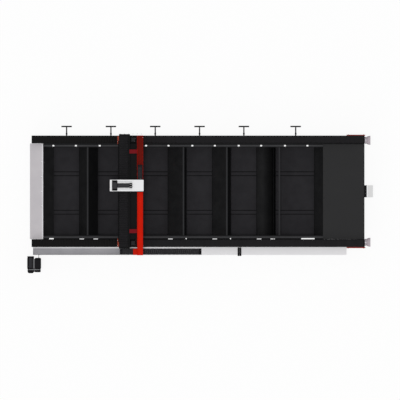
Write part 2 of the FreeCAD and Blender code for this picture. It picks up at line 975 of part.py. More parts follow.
def chain_link(way, first, second, half_height, half_width, wall, middle, along):
    """One hollow link between two stations of the path."""
    def side_face(reach, offset):
        corners = []
        for station, signs in ((first, (-1, 1)), (second, (1, -1))):
            distance, height, turn = station
            for sign in signs:
                run = distance - way * math.sin(turn) * sign * reach
                rise = height + math.cos(turn) * sign * reach
                corners.append((run, offset, rise) if along == "X" else (offset, run, rise))
        return facet(*corners)

    sweep = FreeCAD.Vector(0, 1, 0) if along == "X" else FreeCAD.Vector(1, 0, 0)
    outer = side_face(half_height, middle - half_width).extrude(sweep * half_width * 2)
    inner_width = half_width - wall
    inner = side_face(half_height - wall, middle - inner_width).extrude(sweep * inner_width * 2)
    return outer.cut(inner)


def drag_chain(along, start, loop_middle, end, middle, low, width, height, pitch, radius):
    """Wide and narrow hollow links in turn, each touching the next."""
    start, loop_middle, end, middle, low, width, height, pitch, radius, wall = numbers(
        start, loop_middle, end, middle, low, width, height, pitch, radius, s.chain_wall)
    way, stations = chain_path(start, loop_middle, end, low, radius, pitch / 2)
    links = []
    for index, (first, second) in enumerate(zip(stations, stations[1:])):
        slim = wall / 2 if index % 2 else 0.0
        links.append(chain_link(way, first, second, height / 2 - slim, width / 2 - slim,
                                wall, middle, along))
    return links


# Front cable tray
tray_left = bed_left + s.tray_start_gap
tray_right = bed_right + s.side_plate_overlap - s.side_plate_length - s.tray_plate_gap
raised_left = tray_left + s.deep_tray_length
tray_floor = s.tray_floor_height + s.tray_sheet
tray_top = s.tray_floor_height + s.tray_depth


def make_tray():
    """An open channel hung on the front beam, then a channel of the same section with a lid."""
    far = bed_front
    near = bed_front - s.tray_width
    skin = s.tray_sheet
    low = s.tray_floor_height
    section = [
        (near, low),
        (far, low),
        (far, tray_top),
        (far - s.tray_flange, tray_top),
        (far - s.tray_flange, tray_top - skin),
        (far - skin, tray_top - skin),
        (far - skin, tray_floor),
        (near + skin, tray_floor),
        (near + skin, tray_top),
        (near, tray_top),
    ]
    channel = prism("YZ", [section], s.deep_tray_length, tray_left)
    end_wall = box((tray_left, near + skin / 2, low + skin / 2),
                   (tray_left + skin, far - skin / 2, tray_top - skin / 2))
    keep("tray_deep", fuse([channel, end_wall]))

    outer = rectangle((near, low), (far, tray_top))
    inner = rectangle((near + skin, tray_floor), (far - skin, tray_top - skin))
    keep("tray_raised", prism("YZ", [outer, inner], tray_right - raised_left, raised_left))


def make_straps():
    """Two hooked straps over the lid that hold the raised tray to the beam."""
    near = bed_front - s.strap_start - s.strap_reach
    far = bed_front - s.strap_start
    straps = []
    for step in range(2):
        left = raised_left + s.strap_offset + (s.strap_width + s.strap_gap) * step
        right = left + s.strap_width
        bar = box((left, near, tray_top), (right, far, tray_top + s.strap_thickness))
        leg = box((left, near, tray_top + s.strap_thickness - s.strap_leg),
                  (right, bed_front - s.tray_width, tray_top + s.strap_thickness / 2))
        straps.append(fuse([bar, leg]))
    keep("tray_straps", group(straps))


def make_long_chain():
    """The drag chain that follows the gantry, with the bracket that holds its fixed end."""
    low = tray_floor + s.long_chain_height / 2 + s.slide_gap
    middle = bed_front - s.tray_width / 2 - s.long_chain_offset
    high_end = s.gantry_x + s.end_plate_length - s.chain_foot_grip
    fixed_x = raised_left - s.chain_clip_length
    loop_x = s.gantry_x + s.long_chain_loop_offset
    links = drag_chain("X", fixed_x, loop_x, high_end, middle, low,
                       s.long_chain_width, s.long_chain_height, s.long_chain_pitch,
                       s.long_chain_radius)
    half = s.long_chain_width / 2
    clip = box((fixed_x, middle - half, tray_floor),
               (raised_left, middle + half, low + s.long_chain_height / 2))
    keep("long_drag_chain", group([shape_piece("link", link) for link in links] + [clip]))


make_tray()
make_straps()
make_long_chain()


# Operator console
console_left = bed_left - s.console_offset
console_back = bed_front - s.tray_width - s.console_gap
console_split = console_left + s.console_column
right_column = console_split + s.console_seam
console_right = right_column + s.console_column - s.console_narrower


def make_console():
    """A floor cabinet in two columns joined by a recessed seam, with a screen and a shelf."""
    front = console_back - s.console_depth
    plinth = s.console_foot
    left = rounded_box((console_left, front, plinth),
                       (console_split, console_back, s.console_top), s.console_corner)
    right = rounded_box((right_column, front, plinth),
                        (console_right, console_back - s.console_step, s.console_top),
                        s.console_corner)
    seam = box((console_split, front + s.console_foot, plinth),
               (right_column, console_back - s.console_step - s.console_foot,
                s.console_top - s.console_foot))
    base = box((console_left + plinth, front + plinth, 0),
               (console_right - plinth, console_back - s.console_step - plinth, plinth))
    middle_x = (right_column + console_right) / 2
    height = s.shelf_height - s.button_drop
    socket = cylinder(s.button_stem_radius + s.shaft_gap, s.button_socket,
                      (middle_x, front, height), "Y")
    keep("console_cabinet", cut(fuse([left, right, seam, base]), [socket]))

    screen_top = s.console_top - s.console_foot
    keep("console_display", box((console_left + plinth, front - s.display_thickness,
                                 screen_top - s.display_height),
                                (console_right - plinth, front, screen_top)))

    shelf = rounded_box((console_left, front - s.shelf_depth, s.shelf_height),
                        (console_right, front + s.shelf_depth,
                         s.shelf_height + s.shelf_thickness), s.shelf_corner)
    behind = box((console_left - plinth, front, s.shelf_height - plinth),
                 (console_right + plinth, front + s.shelf_depth * 2,
                  s.shelf_height + s.shelf_thickness + plinth))
    keep("keyboard_shelf", cut(shelf, [behind]))

    stem = cylinder(s.button_stem_radius, s.button_stem_length + s.button_sink,
                    (middle_x, front - s.button_stem_length, height), "Y")
    cap = cylinder(s.button_radius, s.button_cap_length,
                   (middle_x, front - s.button_stem_length - s.button_cap_length, height), "Y")
    keep("emergency_stop_button", fuse([stem, cap]))


def make_conduit():
    """The cable conduit that runs from the tray's end to the console."""
    x = right_column + (console_right - right_column) * s.conduit_place
    start = console_back - s.console_step
    keep("cable_conduit", cylinder(s.conduit_radius, bed_front - s.tray_width - start,
                                   (x, start, s.conduit_height), "Y"))


make_console()
make_conduit()


# Gantry: levels and faces
plate_bottom = beam_top + s.gantry_clearance
plate_top = plate_bottom + s.end_plate_thickness
gantry_top = plate_top + s.gantry_beam_height
gantry_back = bed_back + s.gantry_overhang
gantry_front = bed_front - s.gantry_overhang
beam_side = s.gantry_x + s.gantry_beam_width
trough_left = beam_side + s.gantry_ledge_width
trough_right = trough_left + s.trough_width
trough_low = plate_top + s.trough_lift
trough_floor = trough_low + s.trough_sheet
trough_rim = trough_low + s.trough_depth
trough_back = gantry_back - s.trough_back_setback
trough_front = bed_front - s.tray_width - s.trough_front_reach
raised_back = s.bed_middle_y - s.cross_chain_clip
carriage_y = s.bed_middle_y + s.carriage_offset
chain_end_y = carriage_y + s.cross_chain_tow
chain_low = trough_floor + s.slide_gap + s.cross_chain_height / 2
chain_high = chain_low + s.cross_chain_radius * 2
raised_top = chain_high - s.cross_chain_height / 2 - s.cross_chain_gap
drive_x = s.gantry_x + s.x_pinion_offset
drive_spots = {"back": back_inner + s.pinion_inset, "front": front_inner - s.pinion_inset}


def make_gantry_beam():
    """A closed box beam with a lower box along its rear side, between the end carriages."""
    wall = s.gantry_wall
    outer = rectangle((s.gantry_x, plate_top), (beam_side, gantry_top))
    inner = rectangle((s.gantry_x + wall, plate_top + wall),
                      (beam_side - wall, gantry_top - wall))
    pieces = [prism("XZ", [outer, inner], gantry_back - gantry_front, gantry_front)]
    for start in (gantry_front, gantry_back - s.gantry_cap):
        pieces.append(box((s.gantry_x + wall / 2, start, plate_top + wall / 2),
                          (beam_side - wall / 2, start + s.gantry_cap, gantry_top - wall / 2)))

    low = gantry_top - s.gantry_ledge_drop
    outer = rectangle((beam_side, plate_top), (trough_left, low))
    inner = rectangle((beam_side + wall, plate_top + wall), (trough_left - wall, low - wall))
    pieces.append(prism("XZ", [outer, inner], back_inner - front_inner, front_inner))
    for start in (front_inner, back_inner - s.gantry_cap):
        pieces.append(box((beam_side, start, plate_top + wall / 2),
                          (trough_left - wall / 2, start + s.gantry_cap, low - wall / 2)))
    keep("gantry_beam", fuse(pieces))


def make_gantry_end(side):
    """An end plate with a skirt outside the beam, riding on two grooved bearing blocks."""
    right = s.gantry_x + s.end_plate_length
    drive_y = drive_spots[side]
    if side == "back":
        near, far = back_inner, gantry_back
        short_near, short_far = back_inner, bed_back + s.end_plate_margin
        skirt = (gantry_back - s.end_plate_thickness, gantry_back)
    else:
        near, far = gantry_front, front_inner
        short_near, short_far = bed_front - s.end_plate_margin, front_inner
        skirt = (gantry_front, gantry_front + s.end_plate_thickness)
    pieces = [box((s.gantry_x, near, plate_bottom), (beam_side, far, plate_top)),
              box((beam_side, short_near, plate_bottom), (right, short_far, plate_top)),
              box((s.gantry_x, skirt[0], plate_top - s.skirt_depth),
                  (beam_side, skirt[1], plate_top))]
    rail_near, rail_far = side_strip(s.rail_inset - s.rail_width / 2, s.rail_width, side)
    block_near, block_far = side_strip(s.rail_inset - s.rail_block_width / 2,
                                       s.rail_block_width, side)
    low = plate_bottom - s.rail_block_height
    for left in (s.gantry_x + s.rail_block_inset,
                 right - s.rail_block_inset - s.rail_block_length):
        pieces.append(box((left, block_near, low),
                          (left + s.rail_block_length, block_far, plate_bottom)))
    groove = box((s.gantry_x, rail_near - s.rail_gap, low - s.rail_gap),
                 (right, rail_far + s.rail_gap, beam_top + s.rail_height + s.rail_gap))
    hole = cylinder(s.shaft_radius + s.shaft_gap, s.end_plate_thickness * 2,
                    (drive_x, drive_y, plate_bottom - s.end_plate_thickness / 2))
    keep(f"gantry_end_{side}", cut(fuse(pieces), [groove, hole]))


def gear(tip_radius, tooth, teeth, low, high, x, y):
    """A spur gear with straight-flanked teeth."""
    tip_radius, tooth, low, high, x, y = numbers(tip_radius, tooth, low, high, x, y)
    corners = []
    teeth = int(float(teeth))
    for index in range(teeth):
        for part, radius in ((-0.28, tip_radius - tooth), (-0.14, tip_radius),
                             (0.14, tip_radius), (0.28, tip_radius - tooth)):
            turn = math.tau * (index + part) / teeth
            corners.append((x + radius * math.cos(turn), y + radius * math.sin(turn), low))
    return shape_piece("gear", facet(*corners).extrude(FreeCAD.Vector(0, 0, high - low)))


def make_pinion(label, x, y, tip_radius, teeth, low, rack_height, shaft_top):
    """A pinion on its shaft, level with its rack."""
    side_gap = (rack_height - s.pinion_width) / 2
    blank = gear(tip_radius, s.pinion_tooth, teeth, low + side_gap,
                 low + side_gap + s.pinion_width, x, y)
    shaft = cylinder(s.shaft_radius, shaft_top - low - side_gap, (x, y, low + side_gap))
    keep(label, fuse([blank, shaft]))


def servo(x, y, low, gearbox_height, motor_height):
    """A right-sized servo motor with its connector on a gearbox."""
    gearbox = s.gearbox_width / 2
    motor = s.servo_width / 2
    level = low + gearbox_height
    top = level + motor_height
    body = rounded_box((x - motor, y - motor, level), (x + motor, y + motor, top),
                       s.servo_corner)
    connector = box((x - motor / 2, y - motor / 2, top),
                    (x + motor / 2, y + motor / 2, top + s.servo_connector))
    base = box((x - gearbox, y - gearbox, low), (x + gearbox, y + gearbox, level))
    return fuse([base, body, connector])


def make_drives():
    keep("x_servos", group([servo(drive_x, drive_spots[side], plate_top, s.gearbox_height,
                                  s.servo_height) for side in ("back", "front")]))
    for side in ("back", "front"):
        make_pinion(f"x_pinion_{side}", drive_x, drive_spots[side], s.pinion_radius,
                    s.pinion_teeth, beam_top, s.rack_height, plate_top - s.shaft_gap * 4)


def make_end_covers_red():
    covers = []
    low = beam_top + s.rail_height + s.end_cover_lift
    for near in (back_inner - s.end_cover_inset,
                 front_inner + s.end_cover_inset - s.end_cover_width):
        covers.append(box((s.gantry_x - s.end_cover_length, near, low),
                          (s.gantry_x, near + s.end_cover_width, low + s.end_cover_height)))
    keep("red_end_covers", group(covers))


def make_trough():
    """The open chain trough, with its raised front floor and the foot that tows the chain."""
    skin = s.trough_sheet
    outer = rectangle((trough_left, trough_low), (trough_right, trough_rim))
    section = [
        outer[0],
        outer[1],
        outer[2],
        (trough_right - skin, trough_rim),
        (trough_right - skin, trough_floor),
        (trough_left + skin, trough_floor),
        (trough_left + skin, trough_rim),
        outer[3],
    ]
    pieces = [prism("XZ", [section], trough_back - trough_front, trough_front)]
    pieces.append(box((trough_left + skin / 2, trough_back - skin, trough_low + skin / 2),
                      (trough_right - skin / 2, trough_back, trough_rim)))
    pieces.append(box((trough_left + skin / 2, trough_front, trough_low + skin / 2),
                      (trough_right - skin / 2, trough_front + skin, raised_top)))
    pieces.append(box((trough_left + skin / 2, trough_front, raised_top - skin),
                      (trough_right - skin / 2, raised_back, raised_top)))
    pieces.append(box((trough_left + skin / 2, raised_back - skin, trough_low + skin / 2),
                      (trough_right - skin / 2, raised_back, raised_top)))

    thick = s.foot_plate_thickness
    near = trough_front + thick
    foot_low = tray_floor + s.slide_gap + s.long_chain_height + s.long_chain_radius * 2
    foot_low = foot_low + s.foot_plate_gap
    foot_left = trough_right - s.foot_plate_length
    pieces.append(box((foot_left, near, foot_low),
                      (trough_right, gantry_front - s.foot_plate_gap * 3, foot_low + thick)))
    pieces.append(box((trough_left, near, foot_low),
                      (trough_right, near + thick, trough_low + skin)))
    keep("chain_trough", fuse(pieces))


def make_trough_brackets():
    """Plates from the beam's top to the trough, each with a rib underneath."""
    plate = s.bracket_sheet
    brackets = []
    for middle in (gantry_back - s.bracket_inset, gantry_front + s.bracket_inset):
        near = middle - s.bracket_width / 2
        top = box((trough_left - s.bracket_length, near, gantry_top),
                  (trough_left, near + s.bracket_width, gantry_top + plate))
        section = [
            (beam_side, gantry_top - s.gantry_ledge_drop),
            (trough_left, gantry_top - s.gantry_ledge_drop),
            (trough_left, gantry_top + plate / 2),
            (beam_side, gantry_top + plate / 2),
        ]
        rib = prism("XZ", [section], plate, middle - plate / 2)
        brackets.append(fuse([top, rib]))
    keep("trough_brackets", group(brackets))


rail_front = gantry_front + s.y_rail_end_gap
rail_back = gantry_back - s.y_rail_end_gap
top_rail_x = s.gantry_x + s.top_rail_inset
face_rail_z = plate_top + s.face_rail_height
y_rack_left = s.gantry_x + s.y_pinion_inset + s.y_pinion_radius + s.pinion_gap


def make_beam_guides():
    half = s.y_rail_width / 2
    high = s.y_rail_height
    keep("y_rails", group([
        box((top_rail_x - half, rail_front, gantry_top),
            (top_rail_x + half, rail_back, gantry_top + high)),
        box((s.gantry_x - high, rail_front, face_rail_z - half),
            (s.gantry_x, rail_back, face_rail_z + half)),
    ]))
    keep("y_rack", box((y_rack_left, rail_front, gantry_top),
                       (y_rack_left + s.y_rack_width, rail_back, gantry_top + high)))


def make_beam_bellows():
    middle = s.gantry_x + s.beam_bellows_width / 2 + s.bellows_gap * 2
    carriage_near = carriage_y - s.carriage_width / 2 - s.bellows_gap
    carriage_far = carriage_y + s.carriage_width / 2 + s.bellows_gap
    for side, start, end in (("front", gantry_front + s.beam_bellows_inset, carriage_near),
                             ("back", carriage_far, gantry_back - s.beam_bellows_inset)):
        bellows(f"beam_bellows_{side}", "Y", start, end, middle, gantry_top,
                s.beam_bellows_width, s.beam_bellows_height, s.beam_fold_pitch,
                s.beam_fold_depth)


def make_cross_chain():
    middle = (trough_left + trough_right) / 2
    links = drag_chain("Y", s.bed_middle_y, carriage_y + s.cross_chain_reach, chain_end_y,
                       middle, chain_low, s.cross_chain_width, s.cross_chain_height,
                       s.cross_chain_pitch, s.cross_chain_radius)
    half = s.cross_chain_width / 2
    clip = box((middle - half, raised_back, trough_floor),
               (middle + half, s.bed_middle_y, chain_low + s.cross_chain_height / 2))
    keep("cross_drag_chain", group([shape_piece("link", link) for link in links] + [clip]))


make_gantry_beam()
make_gantry_end("back")
make_gantry_end("front")
make_drives()
make_end_covers_red()
make_trough()
make_trough_brackets()
make_beam_guides()
make_beam_bellows()
make_cross_chain()


# Carriage and cutting head
carriage_low = gantry_top + s.carriage_lift
carriage_top = carriage_low + s.carriage_sheet
cover_top = carriage_top + s.cover_height
face_near = s.gantry_x - s.face_plate_gap
face_far = face_near - s.face_plate
cover_left = s.gantry_x - s.carriage_front
cover_right = cover_left + s.carriage_length
carriage_front_y = carriage_y - s.carriage_width / 2
carriage_back_y = carriage_y + s.carriage_width / 2
block_left = cover_left + s.head_block_inset
block_right = block_left + s.head_block_length
block_low = s.slide_bottom + s.drive_rise
y_pinion_x = s.gantry_x + s.y_pinion_inset
y_pinion_y = carriage_y + s.y_pinion_offset


def make_carriage_plate():
    """The cross plate over the beam, its front plate, bearing blocks and chain arm."""
    right = cover_right - s.cover_margin * 2
    inset = s.cover_wall
    pieces = [box((face_far, carriage_front_y + inset, carriage_low),
                  (right, carriage_back_y - inset, carriage_top)),
              box((face_far, carriage_front_y + inset, face_rail_z - s.face_block_height),
                  (face_near, carriage_back_y - inset, carriage_top))]
    half = s.y_block_width / 2
    for near in (carriage_front_y + s.y_block_inset,
                 carriage_back_y - s.y_block_inset - s.y_block_length):
        pieces.append(box((top_rail_x - half, near, gantry_top + s.y_rail_height / 2),
                          (top_rail_x + half, near + s.y_block_length, carriage_low)))
        pieces.append(box((face_near, near, face_rail_z - half),
                          (s.gantry_x - s.y_rail_height / 2, near + s.y_block_length,
                           face_rail_z + half)))
    chain_middle = (trough_left + trough_right) / 2
    half_chain = s.cross_chain_width / 2
    pieces.append(box((chain_middle - half_chain, chain_end_y - s.chain_arm_width,
                       chain_high + s.cross_chain_height / 2 + s.slide_gap),
                      (chain_middle + half_chain, chain_end_y, carriage_low)))
    rail = s.y_rail_width / 2 + s.rail_gap
    top_groove = box((top_rail_x - rail, carriage_front_y, gantry_top),
                     (top_rail_x + rail, carriage_back_y,
                      gantry_top + s.y_rail_height + s.rail_gap))
    face_groove = box((s.gantry_x - s.y_rail_height - s.rail_gap, carriage_front_y,
                       face_rail_z - rail),
                      (s.gantry_x, carriage_back_y, face_rail_z + rail))
    hole = cylinder(s.shaft_radius + s.shaft_gap, s.carriage_sheet * 2,
                    (y_pinion_x, y_pinion_y, carriage_low - s.carriage_sheet / 2))
    keep("carriage_plate", cut(fuse(pieces), [top_groove, face_groove, hole]))


def make_carriage_cover():
    """A sheet hood, open underneath, with a window for the height drive."""
    wall = s.cover_wall
    hood = rounded_box((cover_left, carriage_front_y, carriage_top),
                       (cover_right, carriage_back_y, cover_top), s.cover_corner)
    hollow = rounded_box((cover_left + wall, carriage_front_y + wall, carriage_top - wall),
                         (cover_right - wall, carriage_back_y - wall, cover_top - wall),
                         s.cover_corner - wall)
    half = s.head_block_width / 2
    window = box((block_left, carriage_y - half, cover_top - wall * 2),
                 (block_right, carriage_y + half, cover_top + wall))
    keep("carriage_cover", cut(hood, [hollow, window]))


def make_carriage_drive():
    keep("y_servo", servo(y_pinion_x, y_pinion_y, carriage_top, s.small_gearbox_height,
                          s.small_servo_height))
    make_pinion("y_pinion", y_pinion_x, y_pinion_y, s.y_pinion_radius, s.y_pinion_teeth,
                gantry_top, s.y_rail_height + s.pinion_room, carriage_top - s.shaft_gap * 4)


def make_cable_duct():
    """The flat duct on the hood, with a cap bar and two cable glands at its end."""
    half = s.duct_width / 2
    duct_end = block_right + s.duct_length
    duct = box((block_right, carriage_y - half, cover_top),
               (duct_end, carriage_y + half, cover_top + s.duct_height))
    bar = box((duct_end, carriage_y - half, cover_top),
              (duct_end + s.duct_cap, carriage_y + half, cover_top + s.duct_height * 1.2))
    glands = [cylinder(s.gland_radius, s.gland_length,
                       (duct_end + s.duct_cap, carriage_y + half * side, cover_top
                        + s.duct_height / 2), "X") for side in (-0.5, 0.5)]
    keep("cable_duct", fuse([duct, bar] + glands))


def make_z_drive():
    """The height drive's housing in front of the carriage, with two guide rails."""
    half = s.head_block_width / 2
    housing = box((block_left, carriage_y - half, block_low),
                  (face_far, carriage_y + half, cover_top + s.head_block_rise))
    cap = box((face_far, carriage_y - half, carriage_top),
              (block_right, carriage_y + half, cover_top + s.head_block_rise))
    rails = [box((block_left - s.z_rail_height, carriage_y + side * s.z_rail_spacing
                  - s.z_rail_width / 2, block_low),
                 (block_left, carriage_y + side * s.z_rail_spacing + s.z_rail_width / 2,
                  cover_top - s.cover_margin * 2)) for side in (-1, 1)]
    keep("z_drive", fuse([housing, cap] + rails))


def make_head():
    """The vertical slide with its arm, and the cutting head hanging from it."""
    far = block_left - s.z_rail_height - s.rail_gap
    half = s.slide_width / 2
    head_x = face_far - s.head_setback
    plate = box((far - s.slide_plate, carriage_y - half, s.slide_bottom),
                (far, carriage_y + half, s.slide_bottom + s.slide_height))
    arm = box((far, carriage_y - half, s.slide_bottom),
              (head_x + s.head_radius / 2, carriage_y + half,
               s.slide_bottom + s.slide_plate))
    bore = cylinder(s.head_radius, s.slide_plate * 2,
                    (head_x, carriage_y, s.slide_bottom - s.slide_plate / 2))
    keep("z_slide", cut(fuse([plate, arm]), [bore]))

    head_low = s.slide_bottom + s.head_above - s.head_height - s.nozzle_height
    band_top = head_low + s.head_band
    tip = s.nozzle_length
    outline = [
        (0, 0),
        (s.nozzle_tip_radius, 0),
        (s.nozzle_radius, tip),
        (s.head_neck_radius, tip),
        (s.head_waist_radius, head_low),
        (s.head_waist_radius, band_top),
        (s.head_radius, band_top),
        (s.head_radius, head_low + s.head_height - s.head_band / 2),
        (s.head_neck_radius, head_low + s.head_height),
        (0, head_low + s.head_height),
    ]
    keep("cutting_head", revolve(outline, (head_x, carriage_y, s.nozzle_height), "Z"))


make_carriage_plate()
make_carriage_cover()
make_carriage_drive()
make_cable_duct()
make_z_drive()
make_head()

document.recompute()
for item in document.Objects:
    if "Invalid" in item.State or "Error" in item.State:
        raise RuntimeError(f"{item.Name} ({item.Label}) could not be built: {item.State}")
for label, item in NODES.items():
    if item.Shape.isNull() or not item.Shape.isValid() or not item.Shape.Solids:
        raise RuntimeError(f"{label} is not a valid solid")

os.makedirs("parts", exist_ok=True)
for label, item in NODES.items():
    item.Shape.exportStep(f"parts/{label}.step")
print(f"{len(NODES)} pieces written")
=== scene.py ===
import json
import math
import bmesh
import bpy
from mathutils import Matrix, Vector

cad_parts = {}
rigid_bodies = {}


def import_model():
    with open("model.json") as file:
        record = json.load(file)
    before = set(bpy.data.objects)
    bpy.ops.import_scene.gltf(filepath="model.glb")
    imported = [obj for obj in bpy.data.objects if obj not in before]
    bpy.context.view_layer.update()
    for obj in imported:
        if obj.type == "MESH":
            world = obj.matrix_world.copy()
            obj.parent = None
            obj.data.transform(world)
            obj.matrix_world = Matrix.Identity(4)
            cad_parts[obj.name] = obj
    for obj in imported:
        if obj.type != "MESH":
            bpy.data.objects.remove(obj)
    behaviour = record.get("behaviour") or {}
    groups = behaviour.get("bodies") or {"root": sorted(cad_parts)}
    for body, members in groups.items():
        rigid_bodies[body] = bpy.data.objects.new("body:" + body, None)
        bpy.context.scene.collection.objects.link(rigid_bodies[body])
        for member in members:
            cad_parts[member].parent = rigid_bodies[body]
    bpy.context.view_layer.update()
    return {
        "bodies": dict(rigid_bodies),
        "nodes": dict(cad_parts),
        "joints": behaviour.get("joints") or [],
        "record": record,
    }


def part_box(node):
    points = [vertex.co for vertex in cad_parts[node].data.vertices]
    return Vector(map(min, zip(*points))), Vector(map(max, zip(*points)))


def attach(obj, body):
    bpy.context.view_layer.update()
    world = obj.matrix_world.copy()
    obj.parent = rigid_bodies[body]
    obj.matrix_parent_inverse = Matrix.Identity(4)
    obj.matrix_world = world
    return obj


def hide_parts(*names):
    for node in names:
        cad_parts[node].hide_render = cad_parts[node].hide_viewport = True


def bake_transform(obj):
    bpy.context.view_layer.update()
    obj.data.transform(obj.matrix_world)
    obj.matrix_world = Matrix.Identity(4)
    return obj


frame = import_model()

nodes = frame["nodes"]


# Camera, light and floor

studio = {
    "cameraPlace": (0.0, -0.0145, 8.0),   # straight above the middle of the picture
    "pictureWidth": 11.6,                 # metres across the picture
    "clipEnd": 60,
    "skyStrength": 0.62,
    "lamps": {                            # strength, turn in degrees, softness in degrees
        "overhead_softbox": (1.15, (3, -2, 0), 12),
        "side_softbox": (0.30, (52, -34, 0), 30),
    },
    "floorHalf": 30.0,
    "floorColour": "#FBFBFB",
    "floorGlow": 0.90,                    # share of the floor that the camera sees as plain white
}


def linearColour(hexText):
    channels = []
    for place in (1, 3, 5):
        value = int(hexText[place:place + 2], 16) / 255
        channels.append(value / 12.92 if value <= 0.04045 else ((value + 0.055) / 1.055) ** 2.4)
    return (*channels, 1)


def addNode(tree, kind, settings, links=None):
    node = tree.nodes.new(kind)
    for name, value in settings.items():
        if isinstance(name, str) and name not in node.inputs:
            setattr(node, name, value)
        else:
            node.inputs[name].default_value = value
    for name, (source, output) in (links or {}).items():
        tree.links.new(source.outputs[output], node.inputs[name])
    return node


def makeCamera():
    lens = bpy.data.cameras.new("plan_camera")
    lens.type = "ORTHO"
    lens.ortho_scale = studio["pictureWidth"]
    lens.clip_end = studio["clipEnd"]
    camera = bpy.data.objects.new("plan_camera", lens)
    camera.location = studio["cameraPlace"]
    bpy.context.scene.collection.objects.link(camera)
    bpy.context.scene.camera = camera
    bpy.context.scene.view_settings.view_transform = "Standard"


def makeLight():
    # a sky that is plain white where it is seen and softer where it lights, and two soft lamps
    world = bpy.data.worlds.new("studio_sky")
    bpy.context.scene.world = world
    world.use_nodes = True
    tree = world.node_tree
    tree.nodes.clear()
    path = addNode(tree, "ShaderNodeLightPath", {})
    seen = addNode(tree, "ShaderNodeMath", {"operation": "MAXIMUM"},
                   {0: (path, "Is Camera Ray"), 1: (path, "Is Glossy Ray")})
    shown = addNode(tree, "ShaderNodeMath", {"operation": "MAXIMUM"},
                    {0: (seen, "Value"), 1: (path, "Is Transmission Ray")})
    sky = addNode(tree, "ShaderNodeBackground", {"Strength": studio["skyStrength"]})
    backdrop = addNode(tree, "ShaderNodeBackground", {"Strength": 1.0})
    mix = addNode(tree, "ShaderNodeMixShader", {},
                  {0: (shown, "Value"), 1: (sky, "Background"), 2: (backdrop, "Background")})
    addNode(tree, "ShaderNodeOutputWorld", {}, {"Surface": (mix, "Shader")})

    for name, (strength, turns, softness) in studio["lamps"].items():
        lamp = bpy.data.lights.new(name, "SUN")
        lamp.energy = strength
        lamp.angle = math.radians(softness)
        holder = bpy.data.objects.new(name, lamp)
        holder.rotation_euler = [math.radians(turn) for turn in turns]
        bpy.context.scene.collection.objects.link(holder)


def makeFloor():
    material = bpy.data.materials.new("painted studio floor")
    material.use_nodes = True
    tree = material.node_tree
    tree.nodes.clear()
    path = addNode(tree, "ShaderNodeLightPath", {})
    share = addNode(tree, "ShaderNodeMath", {"operation": "MULTIPLY", 1: studio["floorGlow"]},
                    {0: (path, "Is Camera Ray")})
    paint = addNode(tree, "ShaderNodeBsdfDiffuse",
                    {"Color": linearColour(studio["floorColour"])})
    glow = addNode(tree, "ShaderNodeEmission", {"Strength": 1.0})
    mix = addNode(tree, "ShaderNodeMixShader", {},
                  {0: (share, "Value"), 1: (paint, "BSDF"), 2: (glow, "Emission")})
    addNode(tree, "ShaderNodeOutputMaterial", {}, {"Surface": (mix, "Shader")})
    bm = bmesh.new()
    bmesh.ops.create_grid(bm, x_segments=1, y_segments=1, size=studio["floorHalf"])
    mesh = bpy.data.meshes.new("studio_floor")
    bm.to_mesh(mesh)
    bm.free()
    mesh.materials.append(material)
    floor = bpy.data.objects.new("studio_floor", mesh)
    bpy.context.scene.collection.objects.link(floor)


makeCamera()
makeLight()
makeFloor()
print("camera, light and floor are in")


# Finishes. Sizes of patterns are real ones in millimetres; the finest are drawn coarser
# than they are, because one pixel of the plan view is 29 mm.

def startMaterial(name):
    material = bpy.data.materials.new(name)
    material.use_nodes = True
    tree = material.node_tree
    tree.nodes.clear()
    place = addNode(tree, "ShaderNodeTexCoord", {})
    return material, tree, place


def noiseAt(tree, place, millimetres, detail=4, stretch=(1, 1, 1)):
    # one lump of the noise is about as wide as the size asked for
    scale = [1000 / millimetres / part for part in stretch]
    mapping = addNode(tree, "ShaderNodeMapping", {"Scale": scale}, {"Vector": (place, "Object")})
    return addNode(tree, "ShaderNodeTexNoise", {"Scale": 1.0, "Detail": detail},
                   {"Vector": (mapping, "Vector")})


def twoTones(tree, source, output, first, second, low=0.35, high=0.65):
    ramp = addNode(tree, "ShaderNodeValToRGB", {}, {"Fac": (source, output)})
    ramp.color_ramp.elements[0].position = low
    ramp.color_ramp.elements[0].color = linearColour(first)
    ramp.color_ramp.elements[1].position = high
    ramp.color_ramp.elements[1].color = linearColour(second)
    return ramp


def mapRange(tree, source, output, low, high):
    return addNode(tree, "ShaderNodeMapRange", {"To Min": low, "To Max": high},
                   {"Value": (source, output)})


def closeMaterial(tree, shaderSettings, links):
    shader = addNode(tree, "ShaderNodeBsdfPrincipled", shaderSettings, links)
    addNode(tree, "ShaderNodeOutputMaterial", {}, {"Surface": (shader, "BSDF")})


def powderCoat(name, paint):
    # baked polyester powder on steel sheet: an even satin colour with a faint orange peel,
    # a little paler where dust lies
    material, tree, place = startMaterial(name)
    dust = noiseAt(tree, place, paint.get("dustSize", 420), 6)
    tones = twoTones(tree, dust, "Fac", paint["colour"], paint["dusty"], 0.32, 0.72)
    peel = noiseAt(tree, place, paint.get("peelSize", 6), 2)
    bump = addNode(tree, "ShaderNodeBump", {"Strength": 0.25, "Distance": 0.0006},
                   {"Height": (peel, "Fac")})
    rough = paint.get("roughness", 0.45)
    gloss = mapRange(tree, dust, "Fac", rough - 0.08, rough + 0.12)
    closeMaterial(tree, {"Specular IOR Level": paint.get("specular", 0.12)},
                  {"Base Color": (tones, "Color"), "Roughness": (gloss, "Result"),
                   "Normal": (bump, "Normal")})
    return material


